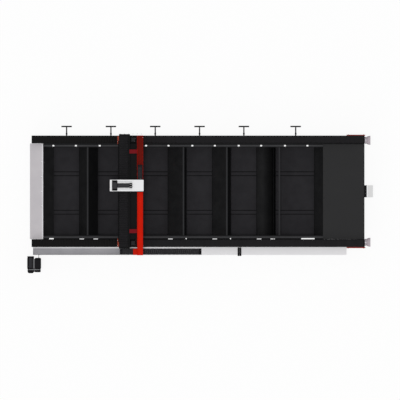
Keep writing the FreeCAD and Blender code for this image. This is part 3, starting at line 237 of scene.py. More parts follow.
def sootySheet(name, paint):
    # hot rolled sheet painted black and then burnt by sparks: dull, with blotches and slag dust
    material, tree, place = startMaterial(name)
    burnt = noiseAt(tree, place, paint.get("blotch", 260), 8)
    tones = twoTones(tree, burnt, "Fac", paint["colour"], paint["dusty"], 0.3, 0.75)
    grit = noiseAt(tree, place, 9, 3)
    bump = addNode(tree, "ShaderNodeBump", {"Strength": 0.5, "Distance": 0.0012},
                   {"Height": (grit, "Fac")})
    gloss = mapRange(tree, grit, "Fac", 0.55, 0.85)
    closeMaterial(tree, {"Specular IOR Level": paint.get("specular", 0.1)},
                  {"Base Color": (tones, "Color"), "Roughness": (gloss, "Result"),
                   "Normal": (bump, "Normal")})
    return material


def groundSteel(name, metal):
    # hardened rail steel, ground along its length: long fine bright lines
    material, tree, place = startMaterial(name)
    stretch = (40, 1, 1) if metal["along"] == "X" else (1, 40, 1)
    lines = noiseAt(tree, place, 4, 3, stretch)
    tones = twoTones(tree, lines, "Fac", metal["colour"], metal["bright"])
    rough = metal.get("roughness", 0.22)
    gloss = mapRange(tree, lines, "Fac", rough, rough + 0.2)
    bump = addNode(tree, "ShaderNodeBump", {"Strength": 0.2, "Distance": 0.0003},
                   {"Height": (lines, "Fac")})
    closeMaterial(tree, {"Metallic": metal.get("metallic", 1.0),
                         "Specular IOR Level": metal.get("specular", 0.5)},
                  {"Base Color": (tones, "Color"), "Roughness": (gloss, "Result"),
                   "Normal": (bump, "Normal")})
    return material


def coatedCloth(name, cloth):
    # polyester cloth coated with PU and welded into folds: matt, the weave just felt under the
    # coating, with paler patches where it is worn
    material, tree, place = startMaterial(name)
    thread = 1000 / cloth["thread"]
    mapping = addNode(tree, "ShaderNodeMapping", {"Scale": (thread, thread, thread)},
                      {"Vector": (place, "Object")})
    warp = addNode(tree, "ShaderNodeTexWave", {"Scale": 0.5, "bands_direction": "X"},
                   {"Vector": (mapping, "Vector")})
    weft = addNode(tree, "ShaderNodeTexWave", {"Scale": 0.5, "bands_direction": "Y"},
                   {"Vector": (mapping, "Vector")})
    weave = addNode(tree, "ShaderNodeMath", {"operation": "MULTIPLY"},
                    {0: (warp, "Fac"), 1: (weft, "Fac")})
    bump = addNode(tree, "ShaderNodeBump", {"Strength": 0.3, "Distance": 0.0008},
                   {"Height": (weave, "Value")})
    worn = noiseAt(tree, place, 160, 5)
    tones = twoTones(tree, worn, "Fac", cloth["colour"], cloth["worn"])
    gloss = mapRange(tree, worn, "Fac", 0.5, 0.75)
    closeMaterial(tree, {"Specular IOR Level": 0.08, "Sheen Weight": 0.02},
                  {"Base Color": (tones, "Color"), "Roughness": (gloss, "Result"),
                   "Normal": (bump, "Normal")})
    return material


def mouldedPlastic(name, plastic):
    # injection moulded plastic with a spark-eroded grain: satin, even, slightly mottled
    material, tree, place = startMaterial(name)
    grain = noiseAt(tree, place, plastic.get("grain", 5), 2)
    flow = noiseAt(tree, place, plastic.get("flow", 90), 4)
    tones = twoTones(tree, flow, "Fac", plastic["colour"], plastic["pale"])
    rough = plastic.get("roughness", 0.5)
    gloss = mapRange(tree, grain, "Fac", rough - 0.08, rough + 0.08)
    bump = addNode(tree, "ShaderNodeBump", {"Strength": 0.2, "Distance": 0.0004},
                   {"Height": (grain, "Fac")})
    closeMaterial(tree, {"Specular IOR Level": plastic.get("specular", 0.2),
                         "Coat Weight": plastic.get("coat", 0.0)},
                  {"Base Color": (tones, "Color"), "Roughness": (gloss, "Result"),
                   "Normal": (bump, "Normal")})
    return material


def turnedMetal(name, metal):
    # turned, then anodised or plated metal: a soft shine broken up by fine spangles
    material, tree, place = startMaterial(name)
    cells = addNode(tree, "ShaderNodeMapping",
                    {"Scale": [1000 / metal["spangle"]] * 3}, {"Vector": (place, "Object")})
    spangle = addNode(tree, "ShaderNodeTexVoronoi", {"Scale": 1.0}, {"Vector": (cells, "Vector")})
    tones = twoTones(tree, spangle, "Distance", metal["colour"], metal["pale"], 0.1, 0.9)
    gloss = mapRange(tree, spangle, "Distance", metal["roughness"], metal["roughness"] + 0.18)
    closeMaterial(tree, {"Metallic": metal.get("metallic", 1.0)},
                  {"Base Color": (tones, "Color"), "Roughness": (gloss, "Result")})
    return material


finishes = {
    # deep satin black that takes up most light
    "frameBlack": powderCoat("powder coated steel, frame black",
                             {"colour": "#0C0C0D", "dusty": "#121213", "roughness": 0.5,
                              "specular": 0.045}),
    # flat dark grey with hardly a shine
    "coverDark": powderCoat("powder coated sheet, graphite",
                            {"colour": "#202021", "dusty": "#252526", "roughness": 0.55}),
    # even light grey with a trace of warmth
    "panelGrey": powderCoat("powder coated sheet, light grey",
                            {"colour": "#BEBABE", "dusty": "#C6C2C5", "roughness": 0.5}),
    # clean cool white, the brightest sheet of the machine
    "hoodWhite": powderCoat("powder coated sheet, signal white",
                            {"colour": "#ECECEE", "dusty": "#F0F0F1", "roughness": 0.4,
                             "dustSize": 250}),
    # strong orange red that stays even
    "troughRed": powderCoat("powder coated sheet, traffic red",
                            {"colour": "#D21B00", "dusty": "#CB1C02", "roughness": 0.42,
                             "dustSize": 300, "specular": 0.02}),
    # dull red that leans to brown
    "deepRed": powderCoat("powder coated steel, oxide red",
                          {"colour": "#8C2A22", "dusty": "#943129", "roughness": 0.5,
                           "specular": 0.05}),
    # mid grey, the open channel's floor painted darker than its near-white top edges as shade
    "shadedTrayGrey": powderCoat("powder coated channel, light grey",
                           {"colour": "#A6A5AA", "dusty": "#B2B1B5", "roughness": 0.5}),
    # nearly white lid over the chain
    "lidGrey": powderCoat("powder coated lid, pale grey",
                          {"colour": "#E8E7E9", "dusty": "#ECEBED", "roughness": 0.5}),
    # pale grey with a warm cast
    "collarPale": powderCoat("powder coated spun sheet, pale grey",
                             {"colour": "#B5AAB1", "dusty": "#BDB3B9", "roughness": 0.45}),
    # soft off-white
    "boxPale": powderCoat("powder coated enclosure, pale grey",
                          {"colour": "#DADADA", "dusty": "#E0E0E0", "roughness": 0.5}),
    # dark wine red
    "bracketRed": powderCoat("powder coated steel, dark red",
                             {"colour": "#72131A", "dusty": "#78161D", "roughness": 0.45,
                              "specular": 0.02}),
    # brick red, duller than the trough
    "coverRed": powderCoat("powder coated sheet, brick red",
                           {"colour": "#9A3A25", "dusty": "#A24430", "roughness": 0.45}),
    # matt black, a shade above the frame
    "ductBlack": powderCoat("powder coated duct, matt black",
                            {"colour": "#2A2A2C", "dusty": "#333336", "roughness": 0.55}),
    # paler than the panel, as a fold that catches the light
    "lipPale": powderCoat("powder coated fold, pale grey",
                          {"colour": "#DDDBDE", "dusty": "#E2E0E3", "roughness": 0.5}),
    # near white line along the tray's edges
    "flangePale": powderCoat("powder coated channel edge, near white",
                             {"colour": "#E4E3E5", "dusty": "#EAE9EB", "roughness": 0.5}),
    # dark grey that lifts the ribs off the black bays
    "ribDark": powderCoat("powder coated rib, dark grey",
                          {"colour": "#28282A", "dusty": "#2F2F31", "roughness": 0.5,
                           "specular": 0.06}),
    # the trough's floor, painted a darker red as shade
    "troughShade": powderCoat("powder coated sheet, dark red in painted shade",
                              {"colour": "#70150B", "dusty": "#78190E", "roughness": 0.5,
                               "dustSize": 300, "specular": 0.03}),
    # dark grey with a slight shine along the rod
    "rodGrey": powderCoat("painted rod, dark grey",
                          {"colour": "#252527", "dusty": "#2D2D2F", "roughness": 0.45,
                           "specular": 0.08}),
    # mid grey frame round the dark screen
    "bezelGrey": powderCoat("painted screen frame, mid grey",
                            {"colour": "#7A7A7D", "dusty": "#828285", "roughness": 0.5,
                             "peelSize": 4}),
    # a quiet grey line between the two columns
    "stripGrey": powderCoat("powder coated joint strip, dark grey",
                            {"colour": "#565658", "dusty": "#5E5E60", "roughness": 0.5,
                             "specular": 0.1}),
    # black without a shine
    "gripRubber": mouldedPlastic("moulded rubber sleeve, black",
                                 {"colour": "#0D0D0E", "pale": "#151516", "roughness": 0.7,
                                  "specular": 0.1}),
    # the ledges' lower faces, painted nearly black as shade
    "ledgeShadeBlack": sootySheet("hot rolled sheet, painted ledges",
                            {"colour": "#161617", "dusty": "#1D1D1F", "blotch": 500}),
    # blank keys a shade above their tray
    "keyPlastic": mouldedPlastic("ABS, moulded blank keys",
                                 {"colour": "#1B1B1D", "pale": "#242427", "roughness": 0.5,
                                  "specular": 0.1}),
    # dull dark grey under slag dust
    "drawerSheet": sootySheet("hot rolled sheet, slag drawers",
                              {"colour": "#232225", "dusty": "#2A292C"}),
    # black with soot, no shine at all
    "hopperSheet": sootySheet("hot rolled sheet, hoppers",
                              {"colour": "#0D0D0E", "dusty": "#131314", "specular": 0.04}),
    # slopes that face left, and those at the far left, painted lighter as lit
    "litHopperSlope": sootySheet("hot rolled sheet, hopper slopes painted lighter as lit",
                             {"colour": "#171718", "dusty": "#1F1F20", "specular": 0.05}),
    # ledge tops, painted a lighter mid grey as lit
    "litLedgeTop": sootySheet("hot rolled sheet, ledges",
                             {"colour": "#3C3C3E", "dusty": "#444446", "blotch": 500}),
    # bright lines along the rail
    "railAlongX": groundSteel("ground rail steel, along the bed",
                              {"colour": "#8E9094", "bright": "#B6B8BC", "along": "X"}),
    # nearly black, with a dull line at most
    "railAlongY": groundSteel("black oxide rail steel, across the bed",
                              {"colour": "#131314", "bright": "#1A1A1B", "along": "Y",
                               "metallic": 0.0, "specular": 0.02, "roughness": 0.5}),
    # small bright heads that catch the lamp
    "steelBright": turnedMetal("zinc plated steel, small parts",
                               {"colour": "#8C8E92", "pale": "#B0B2B6", "spangle": 6,
                                "roughness": 0.35}),
    # matt black, a touch warm
    "cloth": coatedCloth("PU coated polyester cloth, black",
                         {"colour": "#141315", "worn": "#1A191B", "thread": 6}),
    # deeper black, for the covers left of the gantry
    "clothDeep": coatedCloth("PU coated polyester cloth, little used",
                             {"colour": "#0B0B0B", "worn": "#100F0F", "thread": 6}),
    # dark grey links, told apart by their gaps
    "chainNylon": mouldedPlastic("glass filled nylon, moulded black",
                                 {"colour": "#242326", "pale": "#2B2A2D", "roughness": 0.5,
                                  "specular": 0.06}),
    # satin dark grey
    "motorBlack": mouldedPlastic("cast aluminium, painted motor black",
                                 {"colour": "#1B1B1D", "pale": "#222224", "roughness": 0.5,
                                  "specular": 0.08}),
    # soft grey shine under oil
    "gearSteel": turnedMetal("hobbed gear steel, oiled",
                             {"colour": "#6E7074", "pale": "#8A8C90", "spangle": 12,
                              "roughness": 0.3}),
    # dull silver with large spangles
    "footZinc": turnedMetal("hot dip zinc, spangled",
                            {"colour": "#8B8F92", "pale": "#A9ADB0", "spangle": 14,
                             "roughness": 0.42, "metallic": 0.85}),
    # soft silver with a fine grain
    "headMetal": turnedMetal("anodised aluminium, turned",
                             {"colour": "#A8ABB0", "pale": "#C6C9CD", "spangle": 8,
                              "roughness": 0.3}),
    # grained dark grey that hides finger marks
    "consoleDark": powderCoat("textured powder coat, console graphite",
                              {"colour": "#28282B", "dusty": "#2E2E31", "roughness": 0.6,
                               "peelSize": 4, "specular": 0.08}),
    # the same grain, nearly black
    "consoleBlack": powderCoat("textured powder coat, console black",
                               {"colour": "#0A0A0B", "dusty": "#0F0F10", "roughness": 0.6,
                                "peelSize": 4, "specular": 0.04}),
    # the same grain, between the two
    "consoleDeep": powderCoat("textured powder coat, console anthracite",
                              {"colour": "#141416", "dusty": "#19191B", "roughness": 0.6,
                               "peelSize": 4, "specular": 0.05}),
    # light grey ridges with soft shadows
    "conduitGrey": mouldedPlastic("corrugated polyamide, light grey",
                                  {"colour": "#C4C4C6", "pale": "#D2D2D4", "roughness": 0.5}),
    # the thin grey line of a joint in white sheet
    "seamGrey": powderCoat("sheet joint in the hood, shaded",
                           {"colour": "#A9A9AC", "dusty": "#B4B4B6", "roughness": 0.5}),
    # black that keeps its form only at the edges
    "driveBlack": powderCoat("powder coated casting, deep black",
                             {"colour": "#080809", "dusty": "#0C0C0D", "roughness": 0.5,
                              "specular": 0.03}),
    # slate lid, a shade above its black sides
    "ductGrey": powderCoat("powder coated lid, slate",
                           {"colour": "#2C2C2F", "dusty": "#343437", "roughness": 0.5,
                            "specular": 0.08}),
    # small waxy white dots
    "plugWhite": mouldedPlastic("polyethylene plug, white",
                                {"colour": "#E2E2E2", "pale": "#EDEDED", "roughness": 0.4}),
    # warm, slightly glassy white ring
    "ceramicWhite": mouldedPlastic("alumina ceramic, ground white",
                                   {"colour": "#E6E2D8", "pale": "#EFECE4", "roughness": 0.35,
                                    "specular": 0.4}),
    # warm orange shine at the tip
    "nozzleCopper": turnedMetal("copper nozzle, turned",
                                {"colour": "#B4694A", "pale": "#C98262", "spangle": 5,
                                 "roughness": 0.28}),
    # dark glass with one clear reflection
    "displayGlass": mouldedPlastic("hard coated display glass",
                                   {"colour": "#0A0C10", "pale": "#10141A", "grain": 60,
                                    "roughness": 0.14, "specular": 0.5, "coat": 0.6}),
    # glossy signal red
    "buttonRed": mouldedPlastic("ABS, moulded signal red",
                                {"colour": "#C3140E", "pale": "#CE1C14", "roughness": 0.32}),
    # black ridges with a faint shine
    "conduitRubber": mouldedPlastic("corrugated nitrile rubber",
                                    {"colour": "#1D1D1E", "pale": "#262627",
                                     "roughness": 0.7, "specular": 0.25}),
}

drawerNames = [f"slag_drawer_{number}" for number in range(1, 7)]

nodeFinish = {         # finish: the CAD nodes that have it
    "frameBlack": ["frame_posts", "frame_sills", "end_frames", "side_beam_back",
                   "side_beam_front", "gantry_beam", "gantry_end_back", "gantry_end_front",
                   "carriage_plate", "terminal_bracket", "drawer_runners",
                   "tray_straps"],
    "ribDark": ["bay_ribs"],
    "coverDark": ["cover_plate_right"],
    "panelGrey": ["end_panel_left"],
    "hoodWhite": ["carriage_cover"],
    "troughRed": ["chain_trough"],
    "deepRed": ["red_side_plates"],
    "shadedTrayGrey": ["tray_deep"],
    "lidGrey": ["tray_raised"],
    "collarPale": ["extraction_collars"],
    "boxPale": ["terminal_box"],
    "bracketRed": ["trough_brackets"],
    "coverRed": ["red_end_covers"],
    "ductBlack": ["cable_duct", "z_drive"],
    "drawerSheet": drawerNames,
    "hopperSheet": ["hopper_plates"],
    "litLedgeTop": ["ledge_back", "ledge_front"],
    "railAlongX": ["x_rails", "x_racks"],
    "railAlongY": ["y_rails", "y_rack"],
    "cloth": ["rail_bellows_back_left", "rail_bellows_back_right", "rail_bellows_front_left",
              "rail_bellows_front_right", "beam_bellows_back", "beam_bellows_front"],
    "chainNylon": ["long_drag_chain", "cross_drag_chain"],
    "motorBlack": ["x_servos", "y_servo"],
    "gearSteel": ["x_pinion_back", "x_pinion_front", "y_pinion"],
    "footZinc": ["levelling_feet"],
    "headMetal": ["cutting_head", "z_slide"],
    "consoleDark": ["console_cabinet", "keyboard_shelf"],
    "displayGlass": ["console_display"],
    "buttonRed": ["emergency_stop_button"],
    "conduitRubber": ["cable_conduit"],
}

for finishName, nodeNames in nodeFinish.items():
    for nodeName in nodeNames:
        for holder in nodes[nodeName].material_slots:
            holder.material = finishes[finishName]
print("finishes are on", sum(len(names) for names in nodeFinish.values()), "CAD nodes")


# Helpers for the pieces. A part is a small bmesh of its own, joined to its piece when done.


def finishPiece(name, bm, finishNames, body, replaced=(), sharpest=40):
    for edge in bm.edges:
        if len(edge.link_faces) == 2:
            edge.smooth = edge.calc_face_angle(0) < math.radians(sharpest)
    for face in bm.faces:
        face.smooth = True
    mesh = bpy.data.meshes.new(name)
    bm.to_mesh(mesh)
    bm.free()
    for finishName in finishNames:
        mesh.materials.append(finishes[finishName])
    piece = bpy.data.objects.new(name, mesh)
    bpy.context.scene.collection.objects.link(piece)
    even = piece.modifiers.new("even_shading", "WEIGHTED_NORMAL")
    even.keep_sharp = True
    if body:
        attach(piece, body)
    if replaced:
        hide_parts(*replaced)
    return piece


def block(low, high, edge=0.0, steps=2, upright=False):
    part = bmesh.new()
    size = [far - near for near, far in zip(low, high)]
    middle = [(near + far) / 2 for near, far in zip(low, high)]
    bmesh.ops.create_cube(part, size=1,
                          matrix=Matrix.Translation(middle) @ Matrix.Diagonal((*size, 1)))
    if edge:
        edges = [line for line in part.edges if not upright
                 or abs(line.verts[0].co.z - line.verts[1].co.z) > size[2] / 2]
        bmesh.ops.bevel(part, geom=edges, offset=edge, segments=steps, profile=0.5,
                        affect="EDGES", material=-1, clamp_overlap=True)
    return part


def turned(outline, steps=32, closed=False):
    # a lathe shape from (radius, height) pairs, spun round the upright axis
    part = bmesh.new()
    line = [part.verts.new((radius, 0, height)) for radius, height in outline]
    for first, second in zip(line, line[1:]):
        part.edges.new((first, second))
    if closed:
        part.edges.new((line[-1], line[0]))
    bmesh.ops.spin(part, geom=part.verts[:] + part.edges[:], cent=(0, 0, 0), axis=(0, 0, 1),
                   dvec=(0, 0, 0), angle=math.tau, steps=steps, use_merge=True)
    bmesh.ops.remove_doubles(part, verts=part.verts, dist=0.00001)
    bmesh.ops.recalc_face_normals(part, faces=part.faces)
    return part


def atPlace(place, facing="+Z"):
    # stands a part's own Z axis along the way it faces, at its place
    turns = {"+Z": (0, "X"), "-Z": (math.pi, "X"), "+X": (math.pi / 2, "Y"),
             "-X": (-math.pi / 2, "Y"), "+Y": (-math.pi / 2, "X"), "-Y": (math.pi / 2, "X")}
    angle, axis = turns[facing]
    return Matrix.Translation(place) @ Matrix.Rotation(angle, 4, axis)


def asPattern(part, material=0):
    # material None keeps the finishes that the part's faces already have
    if material is not None:
        for face in part.faces:
            face.material_index = material
    pattern = bpy.data.meshes.new("pattern")
    part.to_mesh(pattern)
    part.free()
    return pattern


def stamp(bm, pattern, matrix):
    copy = pattern.copy()
    copy.transform(matrix)
    bm.from_mesh(copy)
    bpy.data.meshes.remove(copy)


def joinAll(bm, part, material, places):
    # the same part at many places
    pattern = asPattern(part, material)
    for place in places:
        stamp(bm, pattern, place)
    bpy.data.meshes.remove(pattern)


def join(bm, part, material=0, matrix=None):
    joinAll(bm, part, material, [matrix or Matrix.Identity(4)])


def copyOfNode(nodeName):
    # a CAD node's triangles, merged and joined back into whole flat faces
    bm = bmesh.new()
    bm.from_mesh(nodes[nodeName].data)
    bmesh.ops.remove_doubles(bm, verts=bm.verts, dist=0.00005)
    bmesh.ops.dissolve_limit(bm, angle_limit=math.radians(2), verts=bm.verts[:],
                             edges=bm.edges[:], use_dissolve_boundaries=False)
    return bm


def softenEdges(bm, radius, steps=2, above=35):
    sharp = [edge for edge in bm.edges if len(edge.link_faces) == 2
             and edge.calc_face_angle(0) > math.radians(above)]
    bmesh.ops.bevel(bm, geom=sharp, offset=radius, segments=steps, profile=0.5,
                    affect="EDGES", material=-1, clamp_overlap=True)


screwForm = {"chamfer": 0.15, "chamferDrop": 0.12, "socket": 0.3,     # shares of the radius
             "socketDepth": 0.5}                                      # share of the height


def screwHead(radius, height):
    # socket cap screw: a low round head with a chamfer and a sunk middle
    part = bmesh.new()
    bmesh.ops.create_cone(part, cap_ends=True, segments=12, radius1=radius, radius2=radius,
                          depth=height, matrix=Matrix.Translation((0, 0, height / 2)))
    top = max(part.faces, key=lambda face: face.calc_center_median().z)
    bmesh.ops.inset_region(part, faces=[top], thickness=radius * screwForm["chamfer"],
                           depth=radius * screwForm["chamferDrop"])
    bmesh.ops.inset_region(part, faces=[top], thickness=radius * screwForm["socket"])
    bmesh.ops.translate(part, vec=(0, 0, -height * screwForm["socketDepth"]), verts=top.verts)
    return part


def spread(first, last, count):
    # evenly spaced values, with both ends
    return [first + (last - first) * index / (count - 1) for index in range(count)]


def boltCircle(radius, count, height, start=0.0):
    # places of bolts round an upright axis; start is a share of the step between two
    turns = [math.tau * (index + start) / count for index in range(count)]
    return [Matrix.Translation((radius * math.cos(turn), radius * math.sin(turn), height))
            for turn in turns]


# Sheet and box pieces of the bed, gantry and carriage: softened edges

softNodes = {          # node: edge radius in millimetres, finish, body
    "side_beam_back": (7, "frameBlack", "machine_bed"),
    "side_beam_front": (7, "frameBlack", "machine_bed"),
    "cover_plate_right": (2.5, "coverDark", "machine_bed"),
    "red_side_plates": (3, "deepRed", "machine_bed"),
    "terminal_bracket": (4, "frameBlack", "machine_bed"),
    "terminal_box": (3, "boxPale", "machine_bed"),
    "tray_straps": (4, "frameBlack", "machine_bed"),
    "tray_raised": (3, "lidGrey", "machine_bed"),
    "gantry_beam": (6, "frameBlack", "gantry"),
    "gantry_end_back": (3, "frameBlack", "gantry"),
    "gantry_end_front": (3, "frameBlack", "gantry"),
    "trough_brackets": (3, "bracketRed", "gantry"),
    "red_end_covers": (5, "coverRed", "gantry"),
    "carriage_plate": (2.5, "frameBlack", "carriage"),
    "z_slide": (2.5, "headMetal", "cutting_unit"),
}

sidePlates = {
    "backFace": 1.880, "backTrim": 0.017,      # what lies past the face moves in by the trim
    "frontFace": -1.400, "frontTrim": 0.009,
}


def trimSidePlates(bm):
    # the red plates look a little thinner from above than in the source
    for vert in bm.verts:
        if vert.co.y > sidePlates["backFace"]:
            vert.co.y -= sidePlates["backTrim"]
        elif vert.co.y < sidePlates["frontFace"]:
            vert.co.y += sidePlates["frontTrim"]


def makeSoftNodes():
    for nodeName, (radius, finishName, body) in softNodes.items():
        bm = copyOfNode(nodeName)
        if nodeName == "red_side_plates":
            trimSidePlates(bm)
        softenEdges(bm, radius / 1000)
        finishPiece(nodeName.replace("_", "-"), bm, [finishName], body, [nodeName])


makeSoftNodes()
print("sheet edges are softened")


# Bellows: welded cloth folds with a band along each ridge, between two stiff end frames

bellows = {
    "bandHalf": 0.004,
    "corner": 0.022,
    "frameThick": 0.006, "frameEdge": 0.002,
    "frameLift": {"X": 0.042, "Y": 0.030},      # the frames stand clear of rail and rack
    "edgeCurl": 0.012,
    "clothThick": 0.0015,
    "sharpest": 15,                    # degrees; steeper folds keep a crisp edge
    "chamfer": 0.3,                    # share of the corner
    "crownFrom": 0.45, "crownDrop": 0.001,     # the tops are a little higher along the middle
    "covers": {
        # name: node, axis, folds, fold depth, body at its low end, body at its high end
        "rail_cover_back_left": ("rail_bellows_back_left", "X", 31, 0.010,
                                 "machine_bed", "gantry"),
        "rail_cover_front_left": ("rail_bellows_front_left", "X", 31, 0.010,
                                  "machine_bed", "gantry"),
        "rail_cover_back_right": ("rail_bellows_back_right", "X", 44, 0.010,
                                  "gantry", "machine_bed"),
        "rail_cover_front_right": ("rail_bellows_front_right", "X", 44, 0.010,
                                   "gantry", "machine_bed"),
        "beam_cover_front": ("beam_bellows_front", "Y", 24, 0.012, "gantry", "carriage"),
        "beam_cover_back": ("beam_bellows_back", "Y", 19, 0.012, "carriage", "gantry"),
    },
}


def bellowsSection(bm, half, height, corner, across):
    # half tunnel: hem turned in, side, chamfered shoulder, crowned top, and back down
    curl, chamfer = bellows["edgeCurl"], corner * bellows["chamfer"]
    right = [(half - curl, 0), (half, 0), (half, (height - corner) / 2), (half, height - corner),
             (half - chamfer, height - chamfer), (half - corner, height - bellows["crownDrop"]),
             (half * bellows["crownFrom"], height)]
    points = right + [(0, height)] + [(-side, up) for side, up in reversed(right)]
    verts = [bm.verts.new((0, side, up) if across == "Y" else (side, 0, up))
             for side, up in points]
    return [bm.edges.new(pair) for pair in zip(verts, verts[1:])]


def foldedCloth(length, folds, half, height, depth, along):
    part = bmesh.new()
    edges = bellowsSection(part, half, height, bellows["corner"], "Y" if along == "X" else "X")
    way = Vector((1, 0, 0)) if along == "X" else Vector((0, 1, 0))
    squeeze = (half - depth) / half
    low = (height - depth) / height
    shrink = (1, squeeze, low) if along == "X" else (squeeze, 1, low)
    grow = [1 / share for share in shrink]
    run = (length - bellows["bandHalf"] * 2 * folds) / folds / 2
    for _ in range(folds):
        for step, scale in ((bellows["bandHalf"], None), (run, shrink), (run, grow),
                            (bellows["bandHalf"], None)):
            made = bmesh.ops.extrude_edge_only(part, edges=edges)["geom"]
            edges = [item for item in made if isinstance(item, bmesh.types.BMEdge)]
            verts = [item for item in made if isinstance(item, bmesh.types.BMVert)]
            bmesh.ops.translate(part, vec=way * step, verts=verts)
            if scale:
                bmesh.ops.scale(part, vec=scale, verts=verts)
    bmesh.ops.recalc_face_normals(part, faces=part.faces)
    return part


def makeBellows():
    for name, (nodeName, along, folds, depth, first, second) in bellows["covers"].items():
        low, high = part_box(nodeName)
        reach = 0 if along == "X" else 1
        other = 1 - reach
        half = (high[other] - low[other]) / 2
        frame = bellows["frameThick"]
        place = [0, 0, low[2]]
        place[reach] = low[reach] + frame
        place[other] = (low[other] + high[other]) / 2
        bm = bmesh.new()
        cloth = foldedCloth(high[reach] - low[reach] - frame * 2, folds, half,
                            high[2] - low[2], depth, along)
        if sum(face.normal.z for face in cloth.faces) < 0:
            bmesh.ops.reverse_faces(cloth, faces=cloth.faces)
        bmesh.ops.solidify(cloth, geom=cloth.faces[:], thickness=bellows["clothThick"])
        join(bm, cloth, 0, Matrix.Translation(place))
        for start in (low[reach], high[reach] - frame):
            near, far = list(low), list(high)
            near[reach], far[reach] = start, start + frame
            near[2] = low[2] + bellows["frameLift"][along]
            join(bm, block(near, far, bellows["frameEdge"]), 1)
        clothFinish = "clothDeep" if name.endswith("left") else "cloth"
        piece = finishPiece(name, bm, [clothFinish, "frameBlack"], None, [nodeName],
                            sharpest=bellows["sharpest"])
        start, end = [0, 0, 0], [0, 0, 0]
        start[reach], end[reach] = low[reach] + frame * 2, high[reach] - frame * 2
        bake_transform(piece)


makeBellows()
print("bellows are folded")


# Drag chains: moulded links with round-ended side plates and two crossbars each

chains = {
    # each runs from its start along its low run, round the loop's middle and back to its end;
    # clip and tow are the steel grips that hold its first and last link
    "long": {
        "node": "long_drag_chain", "along": "X", "bodies": ("machine_bed", "gantry"),
        "start": -0.027, "loopMiddle": -2.223, "end": -1.713, "middle": -1.508,
        "low": 0.555, "radius": 0.075, "pitch": 0.060, "width": 0.168, "height": 0.056,
        "plate": 0.009, "bar": 0.057,
        "blend": ((-0.10, -1.508, 0.555), (-1.66, -1.508, 0.555)),
        "clip": ((-0.027, -1.592, 0.524), (0.043, -1.424, 0.585)),
        "tow": ((-1.722, -1.586, 0.672), (-1.656, -1.430, 0.7345)),
    },
    "cross": {
        "node": "cross_drag_chain", "along": "Y", "bodies": ("gantry", "carriage"),
        "start": 0.238, "loopMiddle": 0.933, "end": 0.479, "middle": -1.7375,
        "low": 1.138, "radius": 0.052, "pitch": 0.050, "width": 0.146, "height": 0.042,
        "plate": 0.008, "bar": 0.043,
        "blend": ((-1.7375, 0.5, 1.160), (-1.7375, 0.5, 1.220)),
        "clip": ((-1.7975, 0.218, 1.116), (-1.6775, 0.240, 1.159)),
        "tow": ((-1.7950, 0.432, 1.222), (-1.6800, 0.482, 1.2635)),
    },
}


linkForm = {
    "cheekReach": 0.66,                # share of the pitch
    "cheekRound": 0.36, "barTop": 0.49, "barUnder": 0.36,      # shares of the height
    "gripEdge": 0.004,
}


def chainLink(chain, slim):
    # one link lying along X about its own middle; every second link is slimmer, and its
    # round-ended cheeks lie inside those of its neighbours
    pitch, height, plate = chain["pitch"], chain["height"], chain["plate"]
    half = chain["width"] / 2 - (plate if slim else 0)
    part = bmesh.new()
    for side in (-1, 1):
        inner, outer = sorted((side * half, side * (half - plate)))
        reach = pitch * linkForm["cheekReach"]
        cheek = block((-reach, inner, -height / 2), (reach, outer, height / 2))
        ends = [edge for edge in cheek.edges
                if abs(edge.verts[0].co.y - edge.verts[1].co.y) > plate / 2]
        bmesh.ops.bevel(cheek, geom=ends, offset=height * linkForm["cheekRound"], segments=2,
                        profile=0.5, affect="EDGES", material=-1, clamp_overlap=True)
        join(part, cheek)
    wide = chain["width"] / 2 - plate * 1.5
    bar = chain["bar"] / 2
    for up in (-1, 1):
        low, high = sorted(up * height * linkForm[edge] for edge in ("barTop", "barUnder"))
        join(part, block((-bar, -wide, low), (bar, wide, high)))
    return part


def chainPlace(chain, distance):
    # where the chain's middle line is after a run, and how far it has turned over
    way = -1 if chain["loopMiddle"] < chain["start"] else 1
    lowRun = abs(chain["loopMiddle"] - chain["start"])
    bend = math.pi * chain["radius"]
    if distance <= lowRun:
        return chain["start"] + way * distance, chain["low"], 0.0
    if distance <= lowRun + bend:
        turn = (distance - lowRun) / chain["radius"]
        return (chain["loopMiddle"] + way * chain["radius"] * math.sin(turn),
                chain["low"] + chain["radius"] * (1 - math.cos(turn)), turn)
    run = distance - lowRun - bend
    return chain["loopMiddle"] - way * run, chain["low"] + chain["radius"] * 2, math.pi


def makeChain(name):
    chain = chains[name]
    way = -1 if chain["loopMiddle"] < chain["start"] else 1
    total = (abs(chain["loopMiddle"] - chain["start"]) + math.pi * chain["radius"]
             + abs(chain["loopMiddle"] - chain["end"]))
    count = round(total / chain["pitch"])
    pair = [asPattern(chainLink(chain, slim)) for slim in (False, True)]
    bm = bmesh.new()
    for index in range(count):
        run, height, turn = chainPlace(chain, total * (index + 0.5) / count)
        lean = Matrix.Rotation(-way * turn, 4, "Y")
        if chain["along"] == "X":
            place = Matrix.Translation((run, chain["middle"], height)) @ lean
        else:
            place = (Matrix.Translation((chain["middle"], run, height))
                     @ Matrix.Rotation(math.pi / 2, 4, "Z") @ lean)
        stamp(bm, pair[index % 2], place)
    for pattern in pair:
        bpy.data.meshes.remove(pattern)
    for grip in ("clip", "tow"):
        join(bm, block(*chain[grip], linkForm["gripEdge"]), 1)
    piece = finishPiece(f"{name}_energy_chain", bm, ["chainNylon", "frameBlack"], None,
                        [chain["node"]], sharpest=30)
    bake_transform(piece)


makeChain("long")
makeChain("cross")
print("drag chains are linked")


# Pieces whose faces carry two finishes

def markFaces(bm, material, rule):
    bm.normal_update()
    for face in bm.faces:
        if rule(face.calc_center_median(), face.normal):
            face.material_index = material


